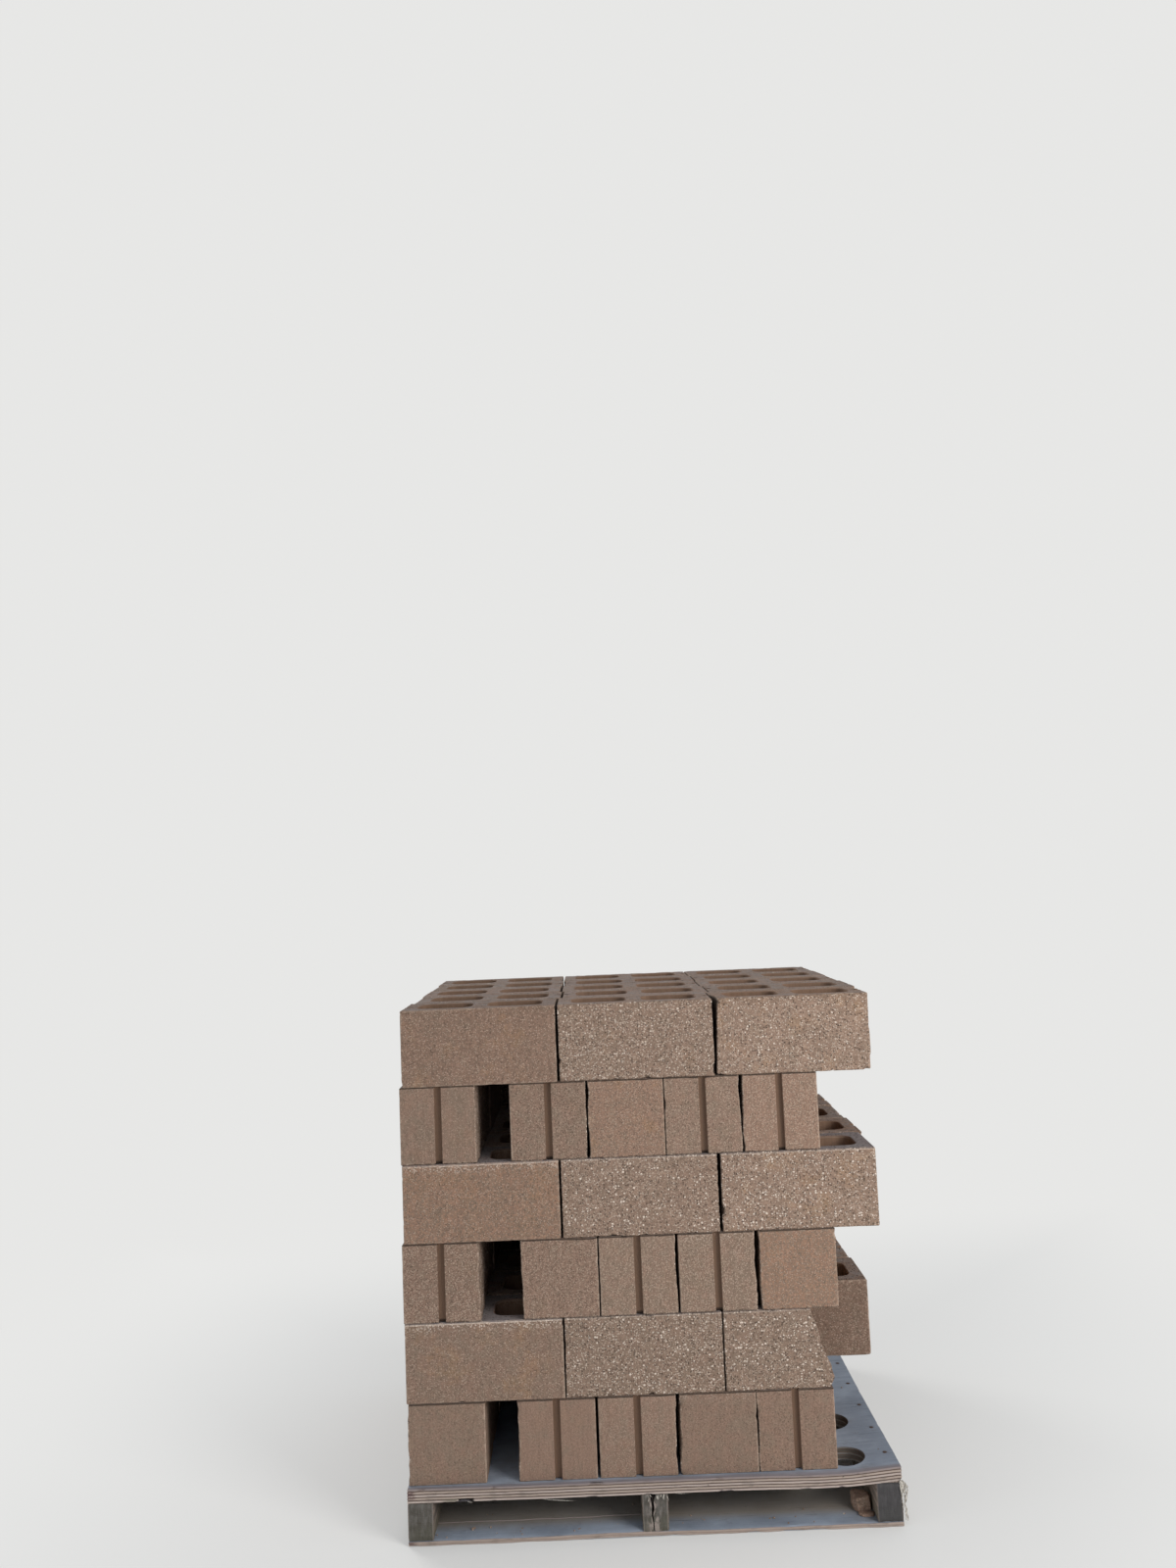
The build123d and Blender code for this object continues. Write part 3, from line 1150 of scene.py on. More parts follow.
    def _broken(self) -> Placed:
        """Reads the broken block, whose fracture is the outline of its front beyond its middle."""
        corners = np.concatenate(self._corners("broken_block"))
        low = corners.min(axis=0)
        bed = np.array([low[0] + self.block.length / 2, low[1] + self.block.width / 2, low[2]])
        edge = corners[(corners[:, 1] < low[1] + 0.1 * MM) & (corners[:, 0] > bed[0])] - bed
        edge = np.unique(np.round(edge[:, [2, 0]], 5), axis=0)
        block = BrokenBlock(fracture=tuple(map(tuple, edge.T.tolist())))
        ahead, lot = np.array([1.0, 0.0]), np.array([0.0, 0.35, 41.0])
        return Placed(block, bed, ahead, Looks.FRONT, Detail.FINE, lot, bedding=(0, 0, 0.8), joints=(1, 0))

    def weather(self, points: Numbers, split_side: int, shift: float) -> Numbers:
        """Gives a block's points with its split face in relief and chipped arrises.

        The split face moves in and out by fractal noise, less near the faces beside it. An
        arris is drawn in where other noise passes a threshold.

        Args:
            points: The block's points in its own frame.
            split_side: -1 or 1, the long side that is split.
            shift: A shift of the noise.

        Returns:
            The moved points.
        """
        half = np.array([self.block.length / 2, self.block.width / 2, self.block.height / 2])
        centre = np.array([0, 0, self.block.height / 2])
        place = points + shift
        near = smooth(12 * MM, 0, self.block.width / 2 - points[:, 1] * split_side)
        waves = fractal_noise(place, 75 * MM, 1, 2) * 0.75 + fractal_noise(place, 24 * MM, 5, 2) * 0.4
        moved = points.copy()
        moved[:, 1] += split_side * near * (np.minimum(waves, 0.55) - 0.35) * self.relief
        bites = smooth(0.55, 1.0, fractal_noise(place, 30 * MM, 11, 2))
        nicks = smooth(0.3, 0.9, lattice_noise(place, 9 * MM, 17)) * 0.3
        worn = (bites + nicks) * self.chip * (0.55 + 0.45 * near)
        arrises = rubbed(points, centre - half, centre + half, 9 * MM, worn)
        return moved + arrises - points

    def _spalled(self, points: Numbers, placed: Placed) -> Numbers:
        """Gives how far a stretcher lies back along X, where an end of its split face broke away.

        The break widens up the block, and fades out behind the split face and along it.

        Args:
            points: The block's points in its own frame.
            placed: The block.

        Returns:
            A distance for each point.
        """
        towards, low, high = placed.spall
        towards = towards * (placed.grooved[0] or 1)
        from_end = self.block.length / 2 - points[:, 0] * towards
        behind = self.block.width / 2 - points[:, 1] * placed.split_side
        width = low + (high - low) * points[:, 2] / self.block.height
        return towards * width * smooth(70 * MM, 0, from_end) * smooth(130 * MM, 50 * MM, behind)

    def _block_surface(self, placed: Placed) -> Surface:
        """Makes one block where it stands.

        Args:
            placed: The block.

        Returns:
            Its surface, with the facts that its finishes read.
        """
        side = placed.split_side
        form = placed.block.form(placed.detail, side)
        finishes = form.finishes.copy()
        middle = form.points[form.faces].mean(axis=1)
        on_split = (finishes == BlockFinish.MOULDED) & (middle[:, 1] * side > self.block.width / 2 - 2 * MM)
        finishes[on_split] = BlockFinish.SPLIT
        moved = self.weather(form.points, side, placed.lot[2])
        moved[:, 0] -= self._spalled(form.points, placed)
        points = turned(moved, placed.grooved)
        facts = {"local": form.points}
        for fact in ("lot", "wear", "skin", "bedding"):
            facts[fact] = np.ones((len(points), 1)) * getattr(placed, fact)
        facts["skin"][:, 2] = np.where(points[:, 0] > 0, placed.joints[1], placed.joints[0])
        return Surface(points + placed.bed, form.faces, finishes, facts)

    def dress(self, name: str) -> Piece:
        """Makes a row of blocks, or the broken one, and puts it in its node's place."""
        blocks = [self._broken()] if name == "broken_block" else self._placed(name)
        row = Surface.joined([self._block_surface(placed) for placed in blocks])
        return fitted(row.made(f"{name}_dressed", self.finishes), name)


@dataclass(frozen=True)
class Plies:
    """The build-up of a sheet: long plies and, between them, thinner and darker cross plies."""

    thickness: float
    count: int
    cross: float = 0.6

    def bounds(self) -> Numbers:
        """Gives the heights of the glue lines, the two faces among them."""
        widths = np.where(np.arange(self.count) % 2, self.cross, 1.0)
        return np.concatenate([[0], np.cumsum(widths)]) / widths.sum() * self.thickness


class TimberFinish(IntEnum):
    """The finishes of the pallet's wood."""

    FACE = 0
    EDGE = 1
    BORE = 2


@dataclass(frozen=True)
class Timber:
    """Wood of the pallet, weathered grey outdoors, and the rusty steel of its nails."""

    silver: Colour = srgb(156, 165, 179)
    slate: Colour = srgb(131, 139, 152)
    mauve: Colour = srgb(128, 117, 118)
    fray: Colour = srgb(96, 74, 74)
    umber: Colour = srgb(112, 102, 92)
    earth: Colour = srgb(146, 133, 116)
    mud: Colour = srgb(98, 92, 86)
    pale: Colour = srgb(186, 171, 163)
    buff: Colour = srgb(176, 160, 149)
    glue: Colour = srgb(98, 83, 76)
    drab: Colour = srgb(146, 128, 117)
    beige: Colour = srgb(168, 152, 142)
    # Near black: soot on knots and checks, and painted shade where the deck's plies broke out.
    soot: Colour = srgb(34, 31, 28)
    moss: Colour = srgb(92, 91, 74)
    olive: Colour = srgb(94, 89, 82)
    ash: Colour = srgb(124, 120, 115)
    dusk: Colour = srgb(92, 92, 100)
    straw: Colour = srgb(214, 207, 196)
    rust: Colour = srgb(84, 62, 50)
    steel: Colour = srgb(60, 57, 57)

    def sheet(self, name: str, light: Colour, dark: Colour, worn: Colour, worn_at: Pair,
              nails: "NailLine | None" = None) -> Material:
        """Makes the face of weathered plywood: grain along X, checks, mud, and rust round the nails.

        Args:
            name: The material's name.
            light: Its colour where the rain has bleached it.
            dark: Its colour elsewhere.
            worn: Its colour towards one long edge.
            worn_at: The places along Y where that starts and is full.
            nails: The nails through it, if any.

        Returns:
            The material.
        """
        coat = Coat(name, "local")
        grain = coat.noise(12, 4, 0.6, (1, 14, 14))
        fibre = coat.noise(55, 3, 0.7, (1, 18, 18))
        coat.colour = coat.mix(light, dark, coat.noise(4.5, 4, 0.6).between(0.35, 0.65))
        coat.cover(self.umber, coat.noise(7, 3, 0.6).between(0.55, 0.75) * 0.35)
        x, y, _ = coat.parts(coat.place)
        coat.cover(worn, (y + grain * 0.01).between(*worn_at) * 0.8)
        coat.shade(grain * 0.3 + fibre * 0.25 + 0.72)
        mud = coat.noise(38, 4, 0.7).between(0.58, 0.75)
        coat.cover(self.mud, mud * 0.3)
        check = coat.noise(7, 2, 0.5, (1, 34, 34)).between(0.33, 0.26)
        coat.cover(self.soot, check * 0.3)
        if nails is not None:
            from_nail = ((x - nails.x) ** 2 + (y - nails.first).wrapped(nails.pitch) ** 2) ** 0.5
            halo = (from_nail + coat.noise(60, 2, 0.5) * 0.008).between(0.016, 0.005)
            coat.cover(self.rust, halo * 0.3)
        height = grain * 0.5 + fibre * 0.5 - check
        return coat.finished(0.88, height, 1.2 * MM, 0.25)

    def laminate(self, name: str, plies: Plies, tones: tuple[Colour, Colour, Colour], greyed: float,
                 bite: Pair = (9.0, 9.0)) -> Material:
        """Makes the cut edge of plywood: pale long plies with their fibres, dark cross plies between.

        Args:
            name: The material's name.
            plies: The build-up of the sheet.
            tones: The colours of the long plies, in turn, and of the cross plies.
            greyed: How far down it is as grey as the sheet's face.
            bite: Where along X the lowest plies have broken out.

        Returns:
            The material.
        """
        coat = Coat(name, "local")
        x, _, z = coat.parts(coat.place)
        blur = 0.4 * MM
        stops = []
        for number, (low, high) in enumerate(zip(plies.bounds()[:-1], plies.bounds()[1:])):
            colour = tones[2] if number % 2 else tones[number // 2 % 2]
            stops += [((low + blur) / plies.thickness, colour), ((high - blur) / plies.thickness, colour)]
        wander = coat.noise(10, 2, 0.6) * 0.001 - 0.0005
        coat.colour = coat.node("ShaderNodeValToRGB", {"stops": stops}, {0: (z + wander) / plies.thickness})
        fibre = coat.noise(90, 4, 0.7, (1, 1, 6))
        grime = coat.noise(16, 4, 0.65, (1, 1, 3))
        coat.shade(fibre * 0.22 + grime * 0.24 + 0.72)
        knots = coat.noise(26, 3, 0.6, (1, 1, 2)).between(0.69, 0.75)
        coat.cover(self.soot, knots * 0.6)
        coat.cover(self.mud, grime.between(0.46, 0.34) * 0.3)
        fray = (x + fibre * 0.03).between(-0.570, -0.585) * coat.noise(120, 3, 0.6).between(0.35, 0.5)
        fray = fray * abs(z / plies.thickness - 0.55).between(0.4, 0.2)
        coat.cover(self.fray, fray * 0.8)
        past = x - bite[0]
        low = z.between(8 * MM, 5 * MM)
        damp = past.between(-50 * MM, -20 * MM) * past.between(1 * MM, -2 * MM) * low
        coat.cover(self.moss, damp * 0.6)
        # Painted shade: near black in the hollow where the lowest plies broke out, and darker still.
        gone = past.between(0, 4 * MM) * (x - bite[1]).between(0, -8 * MM) * z.between(8 * MM, 6.5 * MM)
        coat.cover(self.soot, gone * 0.9)
        coat.shade(1 - gone * 0.75)
        top = (z + wander).between(plies.thickness - greyed, plies.thickness - greyed + 0.6 * MM)
        coat.cover(self.mauve, top * 0.75)
        return coat.finished(0.92, fibre, 1.2 * MM)

    def bearer_side(self) -> Material:
        """Side of a sawn bearer: grain along Y, green near the ground."""
        coat = Coat("bearer_side", "local")
        _, _, z = coat.parts(coat.place)
        tone, _, _ = coat.facts("skin")
        grain = coat.noise(14, 4, 0.65, (14, 1, 14))
        saw = coat.noise(12, 2, 0.5, (1, 30, 0.6))
        coat.colour = coat.mix(self.olive, self.drab, grain.between(0.3, 0.7))
        # The skin fact scales the sides: painted light on the right bearer's, painted shade on the left
        # one's.
        coat.shade((grain * 0.5 + saw * 0.2 + 0.65) * tone)
        damp = coat.noise(16, 4, 0.65) * 0.06 - z
        coat.cover(self.moss, damp.between(-0.03, 0.02) * 0.5)
        return coat.finished(0.93, grain + saw * 0.4, 1.2 * MM)

    def bearer_end(self) -> Material:
        """Sawn end of a bearer: growth rings about a heart below it, and dark radial checks."""
        coat = Coat("bearer_end", "local")
        x, _, z = coat.parts(coat.place)
        bend = coat.noise(30, 2, 0.5) * 0.012
        radius = (x ** 2 + (z + 0.06) ** 2) ** 0.5 + bend
        rings = (radius * 1500).wave() * 0.5 + 0.5
        streaks = coat.noise(30, 4, 0.65, (9, 1, 1))
        grain = coat.noise(240, 3, 0.7)
        mottle = coat.noise(46, 3, 0.6)
        coat.colour = coat.mix(self.olive, self.ash, (streaks * 0.5 + mottle * 0.5).between(0.35, 0.65))
        tone, blue, torn = coat.facts("lot")
        coat.shade(rings * 0.08 + streaks * 0.2 + grain * 0.45 + 0.57)
        check = coat.noise(14, 2, 0.5, (26, 1, 1.2)).between(0.33, 0.25)
        coat.cover(self.soot, check * (torn * 0.35 + 0.25))
        damp = coat.noise(30, 4, 0.65)
        coat.cover(self.moss, (damp - z * 7).between(0.1, 0.4) * 0.35)
        coat.cover(self.dusk, blue)
        bright = coat.noise(42, 3, 0.6, (2.2, 1, 1)).between(0.42, 0.6)
        bright = bright * abs(x + 0.004).between(0.024, 0.008) * torn
        # Pale torn fibres beside the split, and a painted highlight along both arrises.
        rim = abs(x + bend * 0.1).between(0.0275, 0.031)
        coat.cover(self.pale, (bright * 0.7).most(rim * 0.3))
        coat.shade(tone)
        height = rings * 0.15 + streaks * 0.6 + grain * 0.3 - check
        return coat.finished(0.94, height, 1.6 * MM)

    def splinter(self) -> Material:
        """Fresh torn fibres, pale and dry."""
        coat = Coat("torn_fibre")
        grain = coat.noise(500, 3, 0.6, (1, 1, 0.2))
        coat.colour = coat.mix(self.mud, self.straw, grain.between(0.35, 0.6))
        return coat.finished(0.9, grain, 0.4 * MM)

    def nail(self) -> Material:
        """Rusted nail head."""
        coat = Coat("nail_head")
        scale = coat.noise(700, 4, 0.7)
        coat.colour = coat.mix(self.steel, self.rust, scale.between(0.35, 0.6))
        return coat.finished(scale * 0.3 + 0.5, scale, 0.4 * MM, specular=0.3, metallic=0.3)


@dataclass(frozen=True)
class NailLine:
    """Nails in a line along Y, that hold the deck down on a bearer."""

    x: float
    first: float
    pitch: float
    count: int


@dataclass
class Deck:
    """The deck: one sheet of nine plies, with a line of round holes down each side.

    In plan it is a lattice. Each hole takes a rectangle of cells out of it, and rings of
    cells fill the space between. Rows of points up the edges follow the plies, of which the
    cross ones are worn back.
    """

    low: Numbers
    high: Numbers
    finishes: list[Material]
    plies: Plies
    hole_radius: float = 51 * MM
    hole_pitch: float = 200 * MM
    front_inset: float = 84 * MM
    side_inset: float = 123 * MM
    holes_per_side: int = 5
    hole_margin: float = 15 * MM
    spacing: float = 8 * MM
    worn_back: float = 1.1 * MM
    curl: float = 8.5 * MM
    curl_start: float = 470 * MM
    sag: float = 3 * MM
    sag_place: float = 400 * MM
    bite: Pair = (-486 * MM, -442 * MM)
    bite_depth: float = 15 * MM

    def rise(self, points: Numbers) -> Numbers:
        """Gives how far the sheet is warped up at points.

        The front right corner curls up. The front edge dips to the left of it, and swells a
        little at the left end.
        """
        x, y = points[..., 0], points[..., 1]
        curled = smooth(self.curl_start, self.high[0] + 20 * MM, x) * smooth(0, self.low[1], y)
        edge = smooth(19 * MM, 0, y - self.low[1])
        dip = np.exp(-((x - self.sag_place) / (110 * MM)) ** 2)
        swell = smooth(-300 * MM, -600 * MM, x)
        return self.curl * 1.12 * curled + edge * (2 * MM * swell - self.sag * dip)

    def _worn(self, line: Numbers, ply: int) -> Numbers:
        """Gives how far a ply's edge is worn back along a line in plan."""
        place = np.concatenate([line, np.zeros((len(line), 1))], axis=1)
        rough = fractal_noise(place, 22 * MM, 60 + ply, 3)
        x, start = line[:, 0], self.bite[0]
        bitten = smooth(start, start + 5 * MM, x) * smooth(*self.bite[::-1], x)
        bitten = bitten * self.bite_depth * (ply < 2) * (line[:, 1] < self.low[1] + MM)
        if ply % 2:
            return self.worn_back * (1 + 0.5 * rough) + bitten
        torn = smooth(0.5, 1.0, rough) * (4 * MM if ply in (0, self.plies.count - 1) else 1.5 * MM)
        return 0.35 * MM * (1 + rough) + torn + bitten

    def _inward(self, line: Numbers, worn: Numbers, hole: Numbers | None) -> Numbers:
        """Moves a line of edge points into the sheet, by a distance for each.

        Args:
            line: The points in plan.
            worn: The distances.
            hole: The middle of the hole that they are away from, or None at the outside.

        Returns:
            The moved points.
        """
        if hole is None:
            return np.clip(line, self.low[:2] + worn[:, None], self.high[:2] - worn[:, None])
        return hole + (line - hole) * (1 + 0.5 * worn / self.hole_radius)[:, None]

    def _wall(self, line: Numbers, hole: Numbers | None = None) -> Surface:
        """Carries a line of edge points up the plies.

        Args:
            line: The closed line in plan, turning from +X to +Y.
            hole: The middle of the hole that it goes round, or None outside.

        Returns:
            The wall, each ply with a row of points near its bottom and near its top.
        """
        bounds = self.plies.bounds()
        lip = 0.25 * MM
        rows, heights = [], []
        for ply in range(self.plies.count):
            worn = self._inward(line, self._worn(line, ply), hole)
            rows += [worn, worn]
            heights += [bounds[ply] + lip * (ply > 0), bounds[ply + 1] - lip * (ply < self.plies.count - 1)]
        points = raised(np.stack(rows), np.array(heights)[:, None])
        finish = TimberFinish.EDGE if hole is None else TimberFinish.BORE
        wall = Surface.of_grid(points, finish, closed=True)
        return wall.flipped() if hole is None else wall

    @staticmethod
    def _round(first: int, last: int, low: int, high: int) -> tuple[Numbers, Numbers]:
        """Gives the lattice numbers round a rectangle of cells, turning from +X to +Y."""
        i, j = np.arange(first, last), np.arange(low, high)
        along = np.concatenate([i, np.full(len(j), last), i[::-1] + 1, np.full(len(j), first)])
        across = np.concatenate([np.full(len(i), low), j, np.full(len(i), high), j[::-1] + 1])
        return along, across

    def form(self) -> Surface:
        """Makes the sheet: its two faces with their holes, the outer edge and the walls of the holes."""
        x = grid_lines(self.low[0], self.high[0], self.spacing)
        y = grid_lines(self.low[1], self.high[1], self.spacing * 1.25)
        plan = np.stack(np.meshgrid(x, y, indexing="ij"), axis=-1)
        kept = np.ones((len(x) - 1, len(y) - 1), dtype=bool)
        rings = []
        reach = self.hole_radius + self.hole_margin
        for side in (-1, 1):
            for step in range(self.holes_per_side):
                hole = np.array([side * (self.high[0] - self.side_inset),
                                 self.low[1] + self.front_inset + step * self.hole_pitch])
                first, last = np.searchsorted(x, [hole[0] - reach, hole[0] + reach])
                low, high = np.searchsorted(y, [hole[1] - reach, hole[1] + reach])
                kept[first:last, low:high] = False
                square = plan[self._round(first, last, low, high)]
                away = square - hole
                circle = hole + away * (self.hole_radius / np.linalg.norm(away, axis=1))[:, None]
                rings.append((hole, circle, square))
        around = self._round(0, len(x) - 1, 0, len(y) - 1)
        outline = plan[around]
        parts = [self._wall(outline)]
        for ply, height in ((0, 0.0), (self.plies.count - 1, self.plies.thickness)):
            sheet = plan.copy()
            sheet[around] = self._inward(outline, self._worn(outline, ply), None)
            whole = Surface.of_grid(raised(sheet, height), TimberFinish.FACE)
            faces = [Surface(whole.points, whole.faces[kept.ravel()], whole.finishes[kept.ravel()])]
            for hole, circle, square in rings:
                rim = self._inward(circle, self._worn(circle, ply), hole)
                blend = np.array([0, 0.15, 0.5, 1])[:, None, None]
                ring = raised(rim * (1 - blend) + square * blend, height)
                faces.append(Surface.of_grid(ring, TimberFinish.FACE, closed=True))
            parts += faces if height else [part.flipped() for part in faces]
        parts += [self._wall(circle, hole) for hole, circle, _ in rings]
        return Surface.joined(parts).welded()

    def build(self) -> Piece:
        """Makes the deck in its node's place."""
        form = self.form()
        points = form.points + (0, 0, self.low[2])
        share = form.points[:, 2] / self.plies.thickness
        ripple = fractal_noise(form.points, 90 * MM, 3, 2) * 0.4 * MM * (share < 0.5)
        points[:, 2] += self.rise(points) * (0.8 + 0.2 * share) + ripple
        deck = Surface(points, form.faces, form.finishes, {"local": form.points})
        return fitted(deck.made("deck_sheet", self.finishes), "deck")


@dataclass
class Nails:
    """The nail heads down the deck's right side, where no block stands on them."""

    deck: Deck
    line: NailLine
    finish: Material
    radius: float = 5.5 * MM
    stands: float = 1.3 * MM

    def build(self) -> Piece:
        """Turns a flat dome about Z for each head: its height falls with the square of its radius."""
        share = np.array([0, 0.35, 0.65, 0.85, 1.0, 1.0, 0])[:, None] * self.radius
        drop = np.array([0, 0.08, 0.3, 0.55, 0.8, 2.0, 2.0])[:, None] * self.stands
        angle = np.linspace(0, 2 * math.pi, 14, endpoint=False)
        head = np.stack([share * np.cos(angle), share * np.sin(angle), 0 * angle - drop], axis=-1)
        heads = []
        for number in range(self.line.count):
            place = np.array([self.line.x, self.line.first + number * self.line.pitch, self.deck.high[2]])
            place[2] += self.deck.rise(place) + self.stands
            heads.append(Surface.of_grid(head + place, closed=True))
        return fitted(Surface.joined(heads).welded().made("deck_nails", [self.finish]))


class Bearer(Enum):
    """The three bearers: the node, the tone, blue and splinters of its end, and the lightness of its sides,
    painted light on the right one and painted shade on the left one.
    """

    LEFT = ("stringer_left", (0.74, 0.0, 0.0), 0.8)
    CENTRE = ("stringer_centre", (0.78, 0.0, 1.0), 1.0)
    RIGHT = ("stringer_right", (0.55, 0.5, 0.0), 1.3)


@dataclass
class Stringer:
    """A sawn bearer from front to back, its front end split or splintered."""

    which: Bearer
    low: Numbers
    high: Numbers
    finishes: list[Material]
    spacing: Triple = (8 * MM, 22 * MM, 8 * MM)
    split_place: float = -6 * MM
    split_depth: float = 32 * MM
    split_widths: Pair = (0.6 * MM, 7.0 * MM)
    lifted: float = 5.5 * MM

    def _split_open(self, points: Numbers, columns: Numbers) -> None:
        """Opens the split: four lines of points become its lips and its floor, wider towards the top.

        Args:
            points: The bearer's points, which are changed.
            columns: Which of the four lines each is on, or -1.
        """
        height = (points[:, 2] - self.low[2]) / (self.high[2] - self.low[2])
        line = points * (0, 0, 1)
        middle = self.split_place + lattice_noise(line, 17 * MM, 4) * 2.2 * MM
        half = self.split_widths[0] + (self.split_widths[1] - self.split_widths[0]) * height**2.2
        half = half * (1 + 0.4 * lattice_noise(line, 9 * MM, 9))
        near = smooth(190 * MM, 0, points[:, 1] - self.low[1])
        for column, (side, floor) in enumerate(((-1, 0), (-1, 1), (1, 1), (1, 0))):
            on = columns == column
            open_at = middle[on] + side * (half[on] * near[on] + (0.1 + 0.4 * (1 - floor)) * MM)
            points[on, 0] = open_at
            pushed = smooth(self.split_depth * 2.2, 0, points[on, 1] - self.low[1])
            points[on, 1] += floor * self.split_depth * pushed

    def _lift(self, points: Numbers, form: Numbers) -> None:
        """Lifts the right bearer's front end with the deck, and tears its outer arris.

        Args:
            points: The bearer's points, which are changed.
            form: Their places on the sawn timber.
        """
        share = (form[:, 2] - self.low[2]) / (self.high[2] - self.low[2])
        from_front = form[:, 1] - self.low[1]
        points[:, 2] += self.lifted * smooth(260 * MM, 0, from_front) * share**2
        torn = smooth(0.35, 1, share) * smooth(60 * MM, 0, from_front)
        torn = torn * smooth(12 * MM, 0, self.high[0] - form[:, 0])
        points[:, 0] -= torn * (2.5 + 2.5 * fractal_noise(form, 14 * MM, 33, 2)) * MM

    def build(self) -> Piece:
        """Makes the bearer in its node's place."""
        lines = [grid_lines(low, high, step) for low, high, step in zip(self.low, self.high, self.spacing)]
        split = np.array([])
        if self.which is Bearer.CENTRE:
            split = self.split_place + np.array([-2, -1, 1, 2]) * MM
            clear = np.abs(lines[0] - self.split_place) > 13 * MM
            lines[0] = np.sort(np.concatenate([lines[0][clear], split]))
        form = box_surface(tuple(lines))
        points = form.points.copy()
        if len(split):
            gap = np.abs(points[:, :1] - split)
            self._split_open(points, np.where(gap.min(axis=1) < 0.01 * MM, gap.argmin(axis=1), -1))
        rough = fractal_noise(form.points, 30 * MM, 21, 3)
        depth = (1.2 + 1.8 * smooth(0.1, 0.9, rough)) * MM
        points = rubbed(points, self.low, self.high, 6 * MM, depth)
        ends = near_ends(points[:, 1], self.low[1], self.high[1], 14 * MM)
        columns = form.points * (1, 1, 0.15)
        points[:, 1] += ends * (fractal_noise(columns, 9 * MM, 13, 2) * 0.6 + 0.6) * MM
        if self.which is Bearer.RIGHT:
            self._lift(points, form.points)
        finishes = (form.finishes == 1).astype(int)
        local = form.points - ((self.low[0] + self.high[0]) / 2, 0, self.low[2])
        ones = np.ones((len(points), 1))
        node, end, side = self.which.value
        # The skin fact carries the sides' lightness, which is painted light and shade.
        facts = {"local": local, "lot": ones * end, "skin": ones * (side, 0, 0)}
        bearer = Surface(points, form.faces, finishes, facts)
        return fitted(bearer.made(f"{node}_bearer", self.finishes), node)


class Strip(Enum):
    """The three bottom boards."""

    FRONT = "bottom_board_front"
    MIDDLE = "bottom_board_middle"
    BACK = "bottom_board_back"


@dataclass
class BottomBoard:
    """A thin strip of plywood across the bearers, on the floor."""

    which: Strip
    low: Numbers
    high: Numbers
    finishes: list[Material]
    hump: float = 2.6 * MM
    hump_place: float = -65 * MM
    step_back: float = 83 * MM
    step: float = 1.6 * MM
    bay: Pair = (-545 * MM, -33 * MM)

    def _bend(self, points: Numbers, form: Numbers, top: Numbers, riser: float) -> None:
        """Humps the front board beside the middle bearer, and steps it where its top ply is gone.

        Args:
            points: The board's points, which are changed.
            form: Their places on the flat board.
            top: How near each is to its top, up to 1.
            riser: Where the step is, along Y.
        """
        x, y = form[:, 0], form[:, 1]
        near = smooth(120 * MM, 0, y - self.low[1])
        points[:, 2] += self.hump * near * np.exp(-((x - self.hump_place) / (130 * MM)) ** 2)
        wander = fractal_noise(form * (1, 0, 0), 60 * MM, 8, 3) * 2.5 * MM
        points[:, 1] += wander * (np.abs(y - riser) < 1 * MM)
        bay = smooth(self.bay[0] - 4 * MM, self.bay[0] + 4 * MM, x)
        bay = bay * smooth(self.bay[1] + 4 * MM, self.bay[1] - 4 * MM, x)
        points[:, 2] += self.step * top * bay * (y > riser)

    def build(self) -> Piece:
        """Makes the board in its node's place."""
        lines = [grid_lines(self.low[0], self.high[0], 12 * MM),
                 grid_lines(self.low[1], self.high[1], 9 * MM),
                 self.low[2] + np.array([0, 1, 4.6, 5.6, 9, 11, 12]) * MM]
        riser = self.low[1] + self.step_back
        clear = np.abs(lines[1] - riser) > 2 * MM
        lines[1] = np.sort(np.concatenate([lines[1][clear], riser + np.array([-0.3, 0.3]) * MM]))
        form = box_surface(tuple(lines))
        finishes = np.where(form.finishes == 2, TimberFinish.FACE, TimberFinish.EDGE)
        rough = fractal_noise(form.points, 40 * MM, 25, 3)
        depth = (0.8 + 1.6 * smooth(0.2, 0.9, rough)) * MM
        points = rubbed(form.points, self.low, self.high, 4 * MM, depth)
        edge = near_ends(points[:, 1], self.low[1], self.high[1], 9 * MM)
        ply = np.floor((form.points[:, 2] - self.low[2]) / (4 * MM))
        torn = fractal_noise(form.points + ply[:, None], 45 * MM, 51, 3)
        points[:, 1] += edge * (0.8 + 1.6 * torn) * MM
        top = smooth(6 * MM, 11 * MM, form.points[:, 2] - self.low[2])
        if self.which is Strip.FRONT:
            self._bend(points, form.points, top, riser)
            middle = form.points[form.faces].mean(axis=1)
            on_riser = (np.abs(middle[:, 1] - riser) < 0.2 * MM) & (middle[:, 2] > self.high[2] - 0.1 * MM)
            finishes = np.where(on_riser, TimberFinish.EDGE, finishes)
        points[:, 2] += top * fractal_noise(form.points, 50 * MM, 71, 2) * 0.35 * MM
        board = Surface(points, form.faces, finishes, {"local": form.points - (0, 0, self.low[2])})
        return fitted(board.made(f"{self.which.value}_strip", self.finishes), self.which.value)


